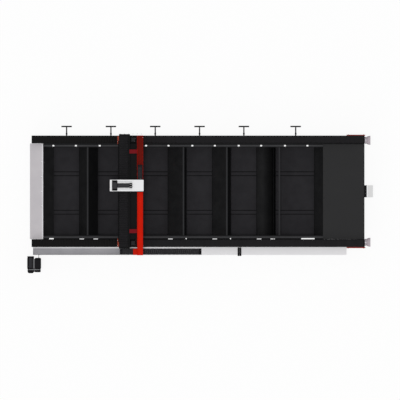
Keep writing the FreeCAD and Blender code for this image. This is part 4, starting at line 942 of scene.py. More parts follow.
twoToneNodes = {
    # node: edge radius in mm, finishes, body, which faces take the second finish
    # the ledges' top faces are painted lighter as lit, all their other faces nearly black as shade
    "ledge_back": (0, ["ledgeShadeBlack", "litLedgeTop"], "machine_bed",
                   lambda spot, way: spot.z > 0.6485 and way.z > 0.5),
    "ledge_front": (0, ["ledgeShadeBlack", "litLedgeTop"], "machine_bed",
                    lambda spot, way: spot.z > 0.6485 and way.z > 0.5),
    # up-facing hopper slopes that face left, or lie at the far left, take the paler black: painted
    # light
    "hopper_plates": (0, ["hopperSheet", "litHopperSlope"], "machine_bed",
                      lambda spot, way: way.z > 0.05 and (way.x < 0 or spot.x < -4.3)),
    "end_panel_left": (2, ["panelGrey", "lipPale"], "machine_bed",
                       lambda spot, way: spot.z > 0.712),
    # the channel's floor keeps the darker grey as painted shade; its top edges take the near white
    "tray_deep": (1, ["shadedTrayGrey", "flangePale"], "machine_bed",
                  lambda spot, way: spot.z > 0.637),
    # the trough's floor faces take the darker red, painted shade of the deep trough
    "chain_trough": (1.5, ["troughRed", "troughShade"], "gantry",
                     lambda spot, way: way.z > 0.5 and 0.8 < spot.z < 1.2),
}


def makeTwoToneNodes():
    for nodeName, (radius, finishNames, body, rule) in twoToneNodes.items():
        bm = copyOfNode(nodeName)
        markFaces(bm, 1, rule)
        if radius:
            softenEdges(bm, radius / 1000)
        finishPiece(nodeName.replace("_", "-"), bm, finishNames, body, [nodeName],
                    sharpest=40 if radius else 8)


makeTwoToneNodes()
print("two-tone pieces are painted")


# Drawer runners

runners = {"moved": (-2.945, -2.880), "step": 0.060, "edge": 0.002}


def makeRunners():
    # the runner under one of the back ledge's holes stands further in, clear of the hole
    bm = copyOfNode("drawer_runners")
    left, right = runners["moved"]
    moved = [vert for vert in bm.verts if left < vert.co.x < right]
    bmesh.ops.translate(bm, vec=(runners["step"], 0, 0), verts=moved)
    softenEdges(bm, runners["edge"])
    finishPiece("drawer-runners", bm, ["frameBlack"], "machine_bed", ["drawer_runners"])


makeRunners()


# Trims of the bed: plain folded and moulded strips, each given by its two corners

bedTrims = {
    # folds under both ledges; they narrow the slots and round holes that are seen from above
    "ledgeFolds": [((-4.670, -1.119, 0.615), (3.560, -1.095, 0.634)),
                   ((-3.600, -1.134, 0.615), (-0.550, -1.119, 0.634)),
                   ((0.200, -1.134, 0.615), (0.700, -1.119, 0.634)),
                   ((1.500, -1.134, 0.615), (2.300, -1.119, 0.634)),
                   ((-4.670, 1.582, 0.615), (3.560, 1.594, 0.634)),
                   ((-4.670, 1.526, 0.615), (3.560, 1.540, 0.634))],
    # a black block filling the gap between the two tray straps, painted shade
    "strapGapShade": ((1.1355, -1.640, 0.640), (1.1515, -1.400, 0.662)),
    "coverSeal": ((3.569, 1.602, 0.6985), (4.754, 1.629, 0.7025)),
    "coverHem": ((4.756, -1.151, 0.690), (4.770, 1.627, 0.7005)),
    "boxRim": ((4.841, 0.068, 0.7175), (4.868, 0.408, 0.7205)),
    "foldEdge": 0.002, "sealEdge": 0.0015, "hemEdge": 0.003, "rimEdge": 0.001,
}


def makeBedTrims():
    # the ledges' folds, a black rubber block between the two tray straps that paints the shade of
    # their gap, the seal and the rolled hem of the plate at the right end, and the pale rim of the
    # small end box
    bm = bmesh.new()
    for low, high in bedTrims["ledgeFolds"]:
        join(bm, block(low, high, bedTrims["foldEdge"]))
    # the black block between the straps stands in for the shade in their gap
    join(bm, block(*bedTrims["strapGapShade"], bedTrims["foldEdge"]), 1)
    join(bm, block(*bedTrims["coverSeal"], bedTrims["sealEdge"]), 1)
    join(bm, block(*bedTrims["coverHem"], bedTrims["hemEdge"]), 2)
    join(bm, block(*bedTrims["boxRim"], bedTrims["rimEdge"]), 3)
    finishPiece("bed_trims", bm, ["hopperSheet", "gripRubber", "coverDark", "hoodWhite"],
                "machine_bed")


makeBedTrims()


# Hems of the left end panel, and the small tabs along its lip: pale tabs as painted highlights,
# each with a painted shadow beside it

panelHems = {
    "width": 0.011, "low": 0.696, "high": 0.706,       # pale folds at the panel's two ends
    "fromLeft": 0.002, "fromRight": 0.040,
    "edge": 0.002, "lipEdge": 0.0015,
    "lip": (-4.585, -4.553), "lipLow": 0.698, "lipHigh": 0.704,
    "tabs": [1.093, 0.670, 0.238, -0.185], "tabHalf": 0.013,
    "tabReach": 0.022, "tabLow": 0.700, "tabHigh": 0.708,
    "shadeReach": 0.030, "shadeGap": 0.002, "shadeHigh": 0.7015,   # a dull patch beside each tab
}


def makePanelHems():
    bm = bmesh.new()
    low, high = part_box("end_panel_left")
    hem, half, edge = panelHems["width"], panelHems["tabHalf"], panelHems["edge"]
    for near, far in ((high[1] - hem, high[1]), (low[1], low[1] + hem)):
        join(bm, block((low[0] + panelHems["fromLeft"], near, panelHems["low"]),
                       (high[0] - panelHems["fromRight"], far, panelHems["high"]), edge))
    left, right = panelHems["lip"]
    join(bm, block((left, low[1] + hem, panelHems["lipLow"]),
                   (right, high[1] - hem, panelHems["lipHigh"]), panelHems["lipEdge"]), 1)
    gap = panelHems["shadeGap"]
    # each tab is pale as a painted highlight; the thin grey patch beside it is a painted shadow
    for middle in panelHems["tabs"]:
        join(bm, block((left - panelHems["tabReach"], middle - half, panelHems["tabLow"]),
                       (right, middle + half, panelHems["tabHigh"]), edge), 2)
        join(bm, block((left - panelHems["shadeReach"], middle - half * 3, panelHems["tabLow"]),
                       (left - gap, middle - half - gap, panelHems["shadeHigh"])), 3)
    finishPiece("panel_hems", bm, ["lipPale", "lipPale", "flangePale", "shadedTrayGrey"], "machine_bed")


makePanelHems()


# Hopper skirts: sheets that close the gap beside each drawer, with a flange turned in at the right

hopperSkirts = {
    "front": -1.049, "back": 1.517, "top": 0.337, "drop": 0.055,
    "thick": 0.003, "gap": 0.001, "edge": 0.0008,
    "flange": 0.015, "flangeLow": 0.327, "flangeHigh": 0.330,
}


def makeHopperSkirts():
    bm = bmesh.new()
    front, back = hopperSkirts["front"], hopperSkirts["back"]
    top, thick, gap = hopperSkirts["top"], hopperSkirts["thick"], hopperSkirts["gap"]
    for nodeName in drawerNames:
        left, right = (corner[0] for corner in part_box(nodeName))
        for near, far in ((left - thick - gap, left - gap), (right + gap, right + thick + gap)):
            join(bm, block((near, front, top - hopperSkirts["drop"]), (far, back, top),
                           hopperSkirts["edge"], 1))
        join(bm, block((right - hopperSkirts["flange"], front, hopperSkirts["flangeLow"]),
                       (right + thick, back, hopperSkirts["flangeHigh"])))
    finishPiece("hopper_skirts", bm, ["hopperSheet"], "machine_bed")


makeHopperSkirts()
print("runners, trims, hems and skirts are on")


# Screws of the plates: black socket heads on the gantry's end plates and on the plates at the
# right end, small bright ones on the end box

plateScrews = {
    "head": 0.010, "height": 0.008, "flatHead": 0.008, "flatHeight": 0.0024,
    "endPlateSpots": [(x, z) for x in spread(-2.310, -1.700, 6) for z in (0.764, 0.854)],
    "endPlateFaces": {"+Y": 1.897, "-Y": -1.421},
    "sidePlateSpots": [(x, z) for x in (4.300, 4.744) for z in (0.480, 0.710)],
    "sidePlateFaces": {"+Y": 1.879, "-Y": -1.411},
    "coverRows": spread(-1.100, 1.576, 8), "coverColumns": (3.600, 4.725), "coverTop": 0.700,
    "boxHead": 0.005, "boxHeight": 0.003,
    "boxCorners": [(y, z) for y in (0.083, 0.393) for z in (0.501, 0.699)], "boxFace": 5.014,
}


def headPlaces(plate):
    return [atPlace((x, face, z), facing) for facing, face in plateScrews[plate + "Faces"].items()
            for x, z in plateScrews[plate + "Spots"]]


def makePlateScrews():
    radius, height = plateScrews["head"], plateScrews["height"]
    gantry, bed = bmesh.new(), bmesh.new()
    joinAll(gantry, screwHead(radius, height), 0, headPlaces("endPlate"))
    joinAll(bed, screwHead(radius, height), 0, headPlaces("sidePlate"))
    joinAll(bed, screwHead(plateScrews["flatHead"], plateScrews["flatHeight"]), 0,
            [atPlace((x, y, plateScrews["coverTop"])) for y in plateScrews["coverRows"]
             for x in plateScrews["coverColumns"]])
    joinAll(bed, screwHead(plateScrews["boxHead"], plateScrews["boxHeight"]), 1,
            [atPlace((plateScrews["boxFace"], y, z), "+X") for y, z in plateScrews["boxCorners"]])
    finishPiece("bed_screws", bed, ["driveBlack", "steelBright"], "machine_bed")
    finishPiece("gantry_screws", gantry, ["driveBlack"], "gantry")


makePlateScrews()
print("plates are screwed down")


# Slag drawers: the tray as in CAD, with a painted rod and a rubber grip in place of its T

drawerPull = {
    # X of each pull; the last one isn't in the middle of its tray
    "middles": [-3.868, -2.583, -1.298, -0.013, 1.272, 2.775],
    "height": 0.255, "trayBack": 1.517, "bedBack": 1.854, "barY": 2.117,
    "rod": 0.0185, "boss": [(1.9, 0), (1.9, 0.006), (1.3, 0.012), (1, 0.018)],
    "collar": 0.0250, "collarStart": 0.028, "collarLength": 0.052, "collarEdge": 0.002,
    "grip": 0.0205, "barHalf": 0.1525, "gripRibs": 9,
    # the strips beside the floor ribs are painted shadows of the ribs
    "floor": 0.178, "ribShadowWidth": 0.022, "ribShadowRise": 0.003, "ribShadowSink": 0.002,
    "ribShadowInset": 0.006, "sheetEdge": 0.0015,
    "ribs": [(0.702, 0.792), (-0.415, -0.325)],
}


def gripSleeve(half, radius, ribs):
    # soft rounded ends and shallow finger ribs between them
    outline = [(0, -half), (radius * 0.6, -half), (radius * 0.92, -half + 0.004),
               (radius, -half + 0.010)]
    for place in spread(-half + 0.03, half - 0.03, ribs):
        outline += [(radius, place - 0.006), (radius * 0.94, place - 0.003),
                    (radius * 0.94, place + 0.003), (radius, place + 0.006)]
    outline += [(radius, half - 0.010), (radius * 0.92, half - 0.004), (radius * 0.6, half),
                (0, half)]
    return turned(outline, 16)


def addRibShadows(bm, left, right):
    # black strips along both feet of each floor rib, painted shadows of the ribs
    floor, width, inset = drawerPull["floor"], drawerPull["ribShadowWidth"], drawerPull["ribShadowInset"]
    for near, far in drawerPull["ribs"]:
        for first, last in ((near - width, near), (far, far + width)):
            join(bm, block((left + inset, first, floor - drawerPull["ribShadowSink"]),
                           (right - inset, last, floor + drawerPull["ribShadowRise"]),
                           drawerPull["sheetEdge"], 1), 3)


def closeTrayBack(bm):
    # takes the solid T-handle off behind the tray and closes the cut
    cut = bmesh.ops.bisect_plane(bm, geom=bm.verts[:] + bm.edges[:] + bm.faces[:],
                                 dist=0.00001, plane_co=(0, drawerPull["trayBack"] + 0.0005, 0),
                                 plane_no=(0, 1, 0), clear_outer=True)
    rims = [item for item in cut["geom_cut"] if isinstance(item, bmesh.types.BMEdge)]
    bmesh.ops.contextual_create(bm, geom=rims)


def addPull(bm, middle):
    back, height, rod = drawerPull["trayBack"], drawerPull["height"], drawerPull["rod"]
    reach = drawerPull["barY"] - back
    boss = [(rod * share, along) for share, along in drawerPull["boss"]]
    stem = turned([(0, 0)] + boss + [(rod, reach), (0, reach)], 20)
    join(bm, stem, 1, atPlace((middle, back, height), "+Y"))
    collar, length, edge = (drawerPull[key] for key in ("collar", "collarLength", "collarEdge"))
    ring = turned([(rod, 0), (collar - edge, 0), (collar, edge), (collar, length - edge),
                   (collar - edge, length), (rod, length)], 20)
    start = drawerPull["bedBack"] + drawerPull["collarStart"]
    join(bm, ring, 2, atPlace((middle, start, height), "+Y"))
    grip = gripSleeve(drawerPull["barHalf"], drawerPull["grip"], drawerPull["gripRibs"])
    join(bm, grip, 2, atPlace((middle, drawerPull["barY"], height), "+X"))


def makeDrawers():
    for nodeName, middle in zip(drawerNames, drawerPull["middles"]):
        body = nodeName.replace("slag_", "")
        low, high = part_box(nodeName)
        bm = copyOfNode(nodeName)
        closeTrayBack(bm)
        softenEdges(bm, drawerPull["sheetEdge"], 1)
        addRibShadows(bm, low[0], high[0])
        addPull(bm, middle)
        finishPiece(f"{body}_tray", bm, ["drawerSheet", "rodGrey", "gripRubber", "hopperSheet"],
                    body, [nodeName])


makeDrawers()
print("drawers have their handles")


# Extraction collars: spun sheet with a rolled bead, a bolted flange and a hose clamp

collars = {
    "places": [(4.776, 1.7165, 0.600), (4.776, -1.2405, 0.600)],
    "neck": 0.096, "mouth": 0.133, "flange": 0.108, "length": 0.166, "neckEnd": 0.052,
    "flare": 2.5,                      # more than 1 opens the mouth sooner
    "beadHeight": 0.008,
    "wall": 0.004, "flangeThick": 0.008, "bolts": 8, "boltCircle": 0.1015,
    "clamp": (0.022, 0.034), "clampThick": 0.0025,
    "clampScrew": ((-0.012, 0.098, 0.0215), (0.012, 0.106, 0.0345)),
    "bolt": (0.0045, 0.004),           # radius and height of each head
}


def collarOutline():
    neck, mouth, flange = collars["neck"], collars["mouth"], collars["flange"]
    wall, end = collars["wall"], collars["length"]
    thick, neckEnd = collars["flangeThick"], collars["neckEnd"]
    shell = [(neck - wall, 0), (flange - 0.001, 0), (flange, 0.002), (flange, thick - 0.002),
             (flange - 0.001, thick), (neck + 0.002, thick), (neck, thick + 0.003), (neck, neckEnd)]
    run = end - neckEnd - collars["beadHeight"]
    for step in range(1, 9):
        share = step / 8
        lift = 1 - (1 - share) ** collars["flare"]
        shell.append((neck + (mouth - wall - neck) * lift, neckEnd + run * share))
    bead = [(mouth - 0.001, end - 0.0065), (mouth, end - 0.0035), (mouth - 0.001, end - 0.001),
            (mouth - 0.004, end), (mouth - 0.007, end - 0.002)]
    inside = [(radius - wall * 0.6, height) for radius, height in reversed(shell[7:])]
    return shell + bead + inside + [(neck - wall, 0.05)]


def makeCollars():
    low, high = collars["clamp"]
    neck, thick = collars["neck"], collars["clampThick"]
    clamp = [(neck, low), (neck + thick, low), (neck + thick, high), (neck, high)]
    bolts = boltCircle(collars["boltCircle"], collars["bolts"], collars["flangeThick"], 0.5)
    bm = bmesh.new()
    for place in collars["places"]:
        stand = atPlace(place, "+X")
        join(bm, turned(collarOutline(), 64, closed=True), 0, stand)
        join(bm, turned(clamp, 48, closed=True), 1, stand)
        join(bm, block(*collars["clampScrew"], 0.002), 1, stand)
        joinAll(bm, screwHead(*collars["bolt"]), 1, [stand @ spot for spot in bolts])
    finishPiece("fume_collars", bm, ["collarPale", "steelBright"], "machine_bed",
                ["extraction_collars"])


makeCollars()
print("extraction collars are spun")


# Levelling feet: a chamfered pad, a threaded jack screw and its lock nut

feet = {
    "rows": [1.7415, -1.2655],
    "padHalf": 0.060, "padHeight": 0.016, "padEdge": 0.004,
    "screw": 0.021, "top": 0.070, "threadPitch": 0.004, "threadDepth": 0.0018,
    "nut": 0.0257, "nutHeight": 0.014,      # half its width across the corners
    "nutDown": 0.008,                       # from the screw's top to the nut's middle
}


def jackScrew():
    radius, top, pitch = feet["screw"], feet["top"], feet["threadPitch"]
    height = feet["padHeight"]
    outline = [(0, height)]
    while height < top - pitch:
        outline += [(radius, height), (radius - feet["threadDepth"], height + pitch / 2)]
        height += pitch
    return turned(outline + [(radius, top), (0, top)], 16)


def makeFeet():
    merged = copyOfNode("levelling_feet")
    columns = sorted({round(vert.co.x, 4) for vert in merged.verts if vert.co.z < 0.001})
    merged.free()
    middles = [(left + right) / 2 for left, right in zip(columns[::2], columns[1::2])]
    half = feet["padHalf"]
    pad = block((-half, -half, 0), (half, half, feet["padHeight"]), feet["padEdge"])
    nut = bmesh.new()
    bmesh.ops.create_cone(nut, cap_ends=True, segments=6, radius1=feet["nut"],
                          radius2=feet["nut"], depth=feet["nutHeight"],
                          matrix=Matrix.Translation((0, 0, feet["top"] - feet["nutDown"])))
    places = [Matrix.Translation((x, y, 0)) for x in middles for y in feet["rows"]]
    bm = bmesh.new()
    for part in (pad, jackScrew(), nut):
        joinAll(bm, part, 0, places)
    finishPiece("jack_feet", bm, ["footZinc"], "machine_bed", ["levelling_feet"], sharpest=30)


makeFeet()
print("levelling feet stand")


# Operator console: two powder coated columns with lids, doors and grilles

console = {
    "left": (-5.006, -4.812), "right": (-4.792, -4.614),
    "back": {"left": -1.646, "right": -1.691},
    "front": -2.022, "top": 1.150, "foot": 0.030,
    "lids": {"left": ((-4.966, -1.986), (-4.874, -1.685)),
             "right": ((-4.768, -1.986), (-4.636, -1.752))},
    "lidRise": 0.003, "corners": {"left": 0.006, "right": 0.026},
    "divider": (-4.843, -4.790), "bridge": ((-4.818, -2.100, 0.985), (-4.786, -2.000, 1.005)),
    "dividerInset": (0.022, 0.030, 0.001),     # at the front, at the back and at the top
    "sideSkin": 0.005, "skinInset": (0.028, 0.020, 0.006),     # front; back and foot; top
    "doorLow": 0.080, "doorHigh": 0.860, "doorThick": 0.003, "doorInset": 0.010,
    "lock": [(0, 0), (0.011, 0), (0.011, 0.004), (0.009, 0.006), (0, 0.006)],
    "lockInset": 0.030, "lockHeight": 0.50,
    "hinge": [(0, -0.03), (0.005, -0.03), (0.005, 0.03), (0, 0.03)],
    "hingeInset": 0.012, "hingeHeights": (0.16, 0.78),
    "vents": 9, "ventLow": 0.17, "ventPitch": 0.024, "ventTall": 0.010, "ventInset": 0.045,
}


def addColumn(bm, side, lidFinish):
    # one column with its lid, door, lock, two hinges and a grille of slats at the back
    near, far = console[side]
    front, top, rise = console["front"], console["top"], console["lidRise"]
    back = console["back"][side]
    column = block((near, front, console["foot"]), (far, back, top - rise),
                   console["corners"][side], 3, upright=True)
    softenEdges(column, 0.003, 2, 60)
    join(bm, column)
    low, high = console["lids"][side]
    join(bm, block((*low, top - rise * 2), (*high, top), 0.0014), lidFinish)
    inset, thick = console["doorInset"], console["doorThick"]
    join(bm, block((near + inset, front - thick, console["doorLow"]),
                   (far - inset, front + 0.001, console["doorHigh"]), 0.0012))
    lockSpot = far - console["lockInset"] if side == "left" else near + console["lockInset"]
    join(bm, turned(console["lock"], 20), 3,
         atPlace((lockSpot, front - thick, console["lockHeight"]), "-Y"))
    hingeSpot = near + console["hingeInset"] if side == "left" else far - console["hingeInset"]
    for height in console["hingeHeights"]:
        join(bm, turned(console["hinge"], 12), 3,
             Matrix.Translation((hingeSpot, front - 0.004, height)))
    inset = console["ventInset"]
    for index in range(console["vents"]):
        height = console["ventLow"] + index * console["ventPitch"]
        join(bm, block((near + inset, back - 0.002, height),
                       (far - inset, back, height + console["ventTall"]), 0.001), 3)


def makeConsoleCabinet():
    top, foot, front = console["top"], console["foot"], console["front"]
    outerLeft, outerRight = console["left"][0], console["right"][1]
    back = console["back"]["right"]
    bm = bmesh.new()
    addColumn(bm, "left", 1)
    addColumn(bm, "right", 2)
    near, far = console["divider"]
    inFront, inBack, inTop = console["dividerInset"]
    join(bm, block((near, front + inFront, foot), (far, back - inBack, top - inTop), 0.001, 1), 4)
    join(bm, block(*console["bridge"], 0.002), 4)
    inFront, inBack, inTop = console["skinInset"]
    for face, way in ((outerLeft, -1), (outerRight, 1)):
        near, far = sorted((face - way * 0.002, face + way * console["sideSkin"]))
        join(bm, block((near, front + inFront, foot + inBack), (far, back - inBack, top - inTop),
                       0.0015))
    join(bm, block((outerLeft + foot, front + foot, 0),
                   (outerRight - foot, back - foot, foot + 0.002)))
    finishPiece("console_body", bm, ["consoleBlack", "consoleDark", "consoleDeep", "steelBright",
                                     "stripGrey"], "machine_bed", ["console_cabinet"])


# Console screen: dark glass set back in a grey frame

screen = {
    "low": 1.010, "high": 1.120, "deep": 0.022, "inset": 0.030,
    "frameWidth": 0.012, "step": 0.002, "glassBack": 0.003, "edge": 0.003,
}


def makeConsoleScreen():
    front, inset = console["front"], screen["inset"]
    frame = block((console["left"][0] + inset, front - screen["deep"], screen["low"]),
                  (console["right"][1] - inset, front + 0.006, screen["high"]), screen["edge"])
    glass = min(frame.faces, key=lambda face: face.calc_center_median().y)
    bmesh.ops.inset_region(frame, faces=[glass], thickness=screen["frameWidth"])
    bmesh.ops.inset_region(frame, faces=[glass], thickness=screen["step"])
    bmesh.ops.translate(frame, vec=(0, screen["glassBack"], 0), verts=glass.verts)
    for face in frame.faces:
        face.material_index = 1
    glass.material_index = 0
    bm = bmesh.new()
    join(bm, frame, None)
    finishPiece("operator_screen", bm, ["displayGlass", "bezelGrey"], "machine_bed",
                ["console_display"])


# Keyboard shelf: two trays with rounded corners and rows of blank keys

keyboard = {
    "top": 1.010, "thick": 0.030, "rim": 0.006, "intoColumn": 0.020, "edge": 0.004,
    "trays": [                 # left, right, front, corner radius, rows of keys
        (-5.002, -4.815, -2.138, 0.055, 3),
        (-4.791, -4.620, -2.110, 0.026, 2),
    ],
    "bridge": (-4.830, -4.780), "bridgeDeep": 0.030,
    "bridgeInset": (0.004, 0.010),            # from the trays' underside and from their top
    "keyPitch": 0.019, "keyHalf": 0.0075, "keyRise": 0.006, "keySink": 0.0005, "keyEdge": 0.002,
    "sideRoom": 0.050, "firstRow": 0.022,
}


def makeKeyboardShelf():
    front, top, pitch = console["front"], keyboard["top"], keyboard["keyPitch"]
    floor, half = top - keyboard["thick"], keyboard["keyHalf"]
    keyFoot = top - keyboard["rim"] - keyboard["keySink"]
    bm = bmesh.new()
    keys = []
    for left, right, near, corner, rows in keyboard["trays"]:
        slab = block((left, near, floor), (right, front + keyboard["intoColumn"],
                                           top - keyboard["rim"]), corner, 6, upright=True)
        softenEdges(slab, keyboard["edge"], 2, 60)
        bmesh.ops.bisect_plane(slab, geom=slab.verts[:] + slab.edges[:] + slab.faces[:],
                               plane_co=(0, front, 0), plane_no=(0, 1, 0), clear_outer=True)
        join(bm, slab)
        columns = round((right - left - keyboard["sideRoom"]) / pitch)
        middle = (left + right) / 2
        keys += [Matrix.Translation((middle + (column - (columns - 1) / 2) * pitch,
                                     front - keyboard["firstRow"] - row * pitch, keyFoot))
                 for column in range(columns) for row in range(rows)]
    joinAll(bm, block((-half, -half, 0), (half, half, keyboard["keyRise"]),
                      keyboard["keyEdge"]), 1, keys)
    left, right = keyboard["bridge"]
    up, down = keyboard["bridgeInset"]
    join(bm, block((left, front - keyboard["bridgeDeep"], floor + up), (right, front, top - down)))
    finishPiece("keyboard_trays", bm, ["consoleBlack", "keyPlastic"], "machine_bed",
                ["keyboard_shelf"])


# Stop button: a red mushroom head on a short neck

stopButton = {
    "dome": [(0, 0), (0.010, 0.0006), (0.0165, 0.003), (0.0195, 0.008), (0.020, 0.012),
             (0.019, 0.0175), (0.012, 0.018)],
    "neck": 0.012,
}


def makeStopButton():
    low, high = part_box("emergency_stop_button")
    middle = ((low[0] + high[0]) / 2, low[1], (low[2] + high[2]) / 2)
    length = high[1] - low[1]
    outline = stopButton["dome"] + [(stopButton["neck"], length), (0, length)]
    bm = bmesh.new()
    join(bm, turned(outline, 40), 0, atPlace(middle, "+Y"))
    finishPiece("stop_mushroom", bm, ["buttonRed"], "stop_button", ["emergency_stop_button"])


makeConsoleCabinet()
makeConsoleScreen()
makeKeyboardShelf()
makeStopButton()
print("console is dressed")


# Cable conduit from the tray to the console: corrugated hose between two cuffs

conduit = {
    "cuff": 0.012, "cuffStep": 0.002, "firstRidge": 0.018, "ridgePitch": 0.006,
    "ridge": [(-0.0025, -0.0015), (-0.0005, 0), (-0.0005, 0.002), (-0.0025, 0.0035)],
}


def makeConduit():
    low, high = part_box("cable_conduit")
    radius, length = (high[0] - low[0]) / 2, high[1] - low[1]
    cuff, step = conduit["cuff"], conduit["cuffStep"]
    outline = [(0, 0), (radius, 0), (radius, cuff), (radius - step, cuff + step)]
    height = conduit["firstRidge"]
    while height < length - conduit["firstRidge"]:
        outline += [(radius + out, height + up) for out, up in conduit["ridge"]]
        height += conduit["ridgePitch"]
    outline += [(radius - step, length - cuff - step), (radius, length - cuff), (radius, length),
                (0, length)]
    start = ((low[0] + high[0]) / 2, low[1], (low[2] + high[2]) / 2)
    bm = bmesh.new()
    join(bm, turned(outline, 20), 0, atPlace(start, "+Y"))
    finishPiece("console_hose", bm, ["conduitGrey"], "machine_bed", ["cable_conduit"])


makeConduit()
print("conduit is in")


# Servo motors: gearbox with a flange, ribbed body, end cap and round connectors

servos = {
    "pieces": {            # name: body, node, and each motor's foot, gearbox, motor and turn
        "bed_drive_servos": ("gantry", "x_servos", [((-1.938, 1.734, 0.884), 0.118, 0.226, 0),
                                                    ((-1.938, -1.258, 0.884), 0.118, 0.226, 180)]),
        "cross_drive_servo": ("carriage", "y_servo", [((-2.213, 0.496, 1.320), 0.070, 0.130, 0)]),
    },
    "flangeHalf": 0.063, "flangeThick": 0.016, "gearHalf": 0.056, "gearEdge": 0.012,
    "motorHalf": 0.050, "motorEdge": 0.010, "capThick": 0.042,
    "ribs": [-0.032, -0.016, 0, 0.016, 0.032], "ribHalf": 0.002, "ribOut": (0.049, 0.054),
    "ribFrom": 0.012, "ribTo": 0.050,
    "socket": [(0, 0), (0.013, 0), (0.013, 0.010), (0.011, 0.012), (0.011, 0.0155), (0, 0.0155)],
    "sockets": [(-0.018, 0.006), (0.018, 0.006)],
    "overlap": 0.002, "flangeEdge": 0.004,
    "screw": (0.006, 0.006), "screwHalf": 0.052,
}


def squareBlock(half, low, high, edge, steps=2, upright=False):
    return block((-half, -half, low), (half, half, high), edge, steps, upright)


def addServoRibs(bm, low, high, stand):
    half = servos["ribHalf"]
    for side in (-1, 1):
        near, far = sorted(side * out for out in servos["ribOut"])
        for place in servos["ribs"]:
            join(bm, block((place - half, near, low), (place + half, far, high)), 1, stand)
            join(bm, block((near, place - half, low), (far, place + half, high)), 1, stand)


def addServo(bm, foot, gear, motor, turn):
    top = gear + motor
    flange, thick = servos["flangeHalf"], servos["flangeThick"]
    edge, overlap = servos["flangeEdge"], servos["overlap"]
    stand = Matrix.Translation(foot) @ Matrix.Rotation(math.radians(turn), 4, "Z")
    join(bm, squareBlock(flange, 0, thick, edge), 0, stand)
    join(bm, squareBlock(servos["gearHalf"], thick - overlap, gear - thick + overlap,
                         servos["gearEdge"], 3, True), 0, stand)
    join(bm, squareBlock(flange, gear - thick, gear, edge), 0, stand)
    join(bm, squareBlock(servos["motorHalf"], gear, top - servos["capThick"] + overlap,
                         servos["motorEdge"], 3, True), 1, stand)
    addServoRibs(bm, gear + servos["ribFrom"], top - servos["ribTo"], stand)
    join(bm, squareBlock(servos["gearHalf"], top - servos["capThick"], top,
                         servos["motorEdge"], 3), 1, stand)
    joinAll(bm, turned(servos["socket"], 20), 0,
            [stand @ Matrix.Translation((x, y, top - 0.0002)) for x, y in servos["sockets"]])
    half = servos["screwHalf"]
    joinAll(bm, screwHead(*servos["screw"]), 2,
            [stand @ Matrix.Translation((x, y, gear - 0.001))
             for x in (-half, half) for y in (-half, half)])


def makeServos():
    for name, (body, nodeName, motors) in servos["pieces"].items():
        bm = bmesh.new()
        for motor in motors:
            addServo(bm, *motor)
        finishPiece(name, bm, ["motorBlack", "motorBlack", "steelBright"], body, [nodeName])


makeServos()
print("servo motors are on")


# Carriage hood: folded white sheet with two joints on its top

hood = {
    "low": (-2.615, 0.239, 1.320), "high": (-1.636, 0.573, 1.556),
    "seams": [0.304, 0.514], "seamFrom": -2.395, "seamTo": -1.965,
    "seamHalf": 0.006, "seamLow": 1.5555, "seamHigh": 1.5580,
    "edge": 0.003, "seamEdge": 0.0008,
    "screw": (0.0055, 0.004), "screws": 5, "screwInset": 0.080, "screwRise": 0.022,
}


def makeHood():
    # the copy is made a few millimetres smaller all round, to the outline that the photo shows
    bm = copyOfNode("carriage_cover")
    low, high = hood["low"], hood["high"]
    nodeLow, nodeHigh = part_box("carriage_cover")
    middle = [(near + far) / 2 for near, far in zip(nodeLow, nodeHigh)]
    fit = [(high[way] - low[way]) / (nodeHigh[way] - nodeLow[way]) for way in (0, 1)]
    shift = [(low[way] + high[way]) / 2 - middle[way] for way in (0, 1)]
    bmesh.ops.scale(bm, vec=(*fit, 1), verts=bm.verts,
                    space=Matrix.Translation((-middle[0], -middle[1], 0)))
    bmesh.ops.translate(bm, vec=(*shift, 0), verts=bm.verts)
    softenEdges(bm, hood["edge"], 2, 50)
    half = hood["seamHalf"]
    for seam in hood["seams"]:
        join(bm, block((hood["seamFrom"], seam - half, hood["seamLow"]),
                       (hood["seamTo"], seam + half, hood["seamHigh"]), hood["seamEdge"]), 1)
    inset = hood["screwInset"]
    joinAll(bm, screwHead(*hood["screw"]), 2,
            [atPlace((x, y, low[2] + hood["screwRise"]), facing)
             for x in spread(low[0] + inset, high[0] - inset, hood["screws"])
             for y, facing in ((low[1], "-Y"), (high[1], "+Y"))])
    finishPiece("white_hood", bm, ["hoodWhite", "seamGrey", "steelBright"], "carriage",
                ["carriage_cover"])


# Height drive: a black casting with a paler lid between two screwed ears

heightDrive = {
    "left": -2.552, "right": -2.399, "front": 0.266, "back": 0.546, "top": 1.582,
    "earDepth": 0.045, "earOut": 0.010, "earDrop": 0.090, "lidLeft": 0.014, "lidRight": 0.012,
    "edge": 0.0025, "earEdge": 0.004, "lidEdge": 0.001, "lidRise": 0.0015,
    "screw": (0.007, 0.005), "screwInset": (0.025, 0.022),
}


def makeHeightDrive():
    left, right, near, far, top = (heightDrive[key] for key in
                                   ("left", "right", "front", "back", "top"))
    depth, out = heightDrive["earDepth"], heightDrive["earOut"]
    bm = copyOfNode("z_drive")
    softenEdges(bm, heightDrive["edge"])
    join(bm, block((left + heightDrive["lidLeft"], near + depth, top - 0.001),
                   (right - heightDrive["lidRight"], far - depth, top + heightDrive["lidRise"]),
                   heightDrive["lidEdge"]), 1)
    for low, high in ((near - out, near + depth), (far - depth, far + out)):
        join(bm, block((left, low, top - heightDrive["earDrop"]),
                       (right, high, top - 0.002), heightDrive["earEdge"]))
    insetX, insetY = heightDrive["screwInset"]
    joinAll(bm, screwHead(*heightDrive["screw"]), 2,
            [Matrix.Translation((x, y, top - 0.002))
             for x in (left + insetX, right - insetX) for y in (near + insetY, far - insetY)])
    finishPiece("height_drive", bm, ["driveBlack", "ductGrey", "driveBlack"], "carriage",
                ["z_drive"])


# Flat cable duct on the hood: a black channel with a slate lid and an end bar

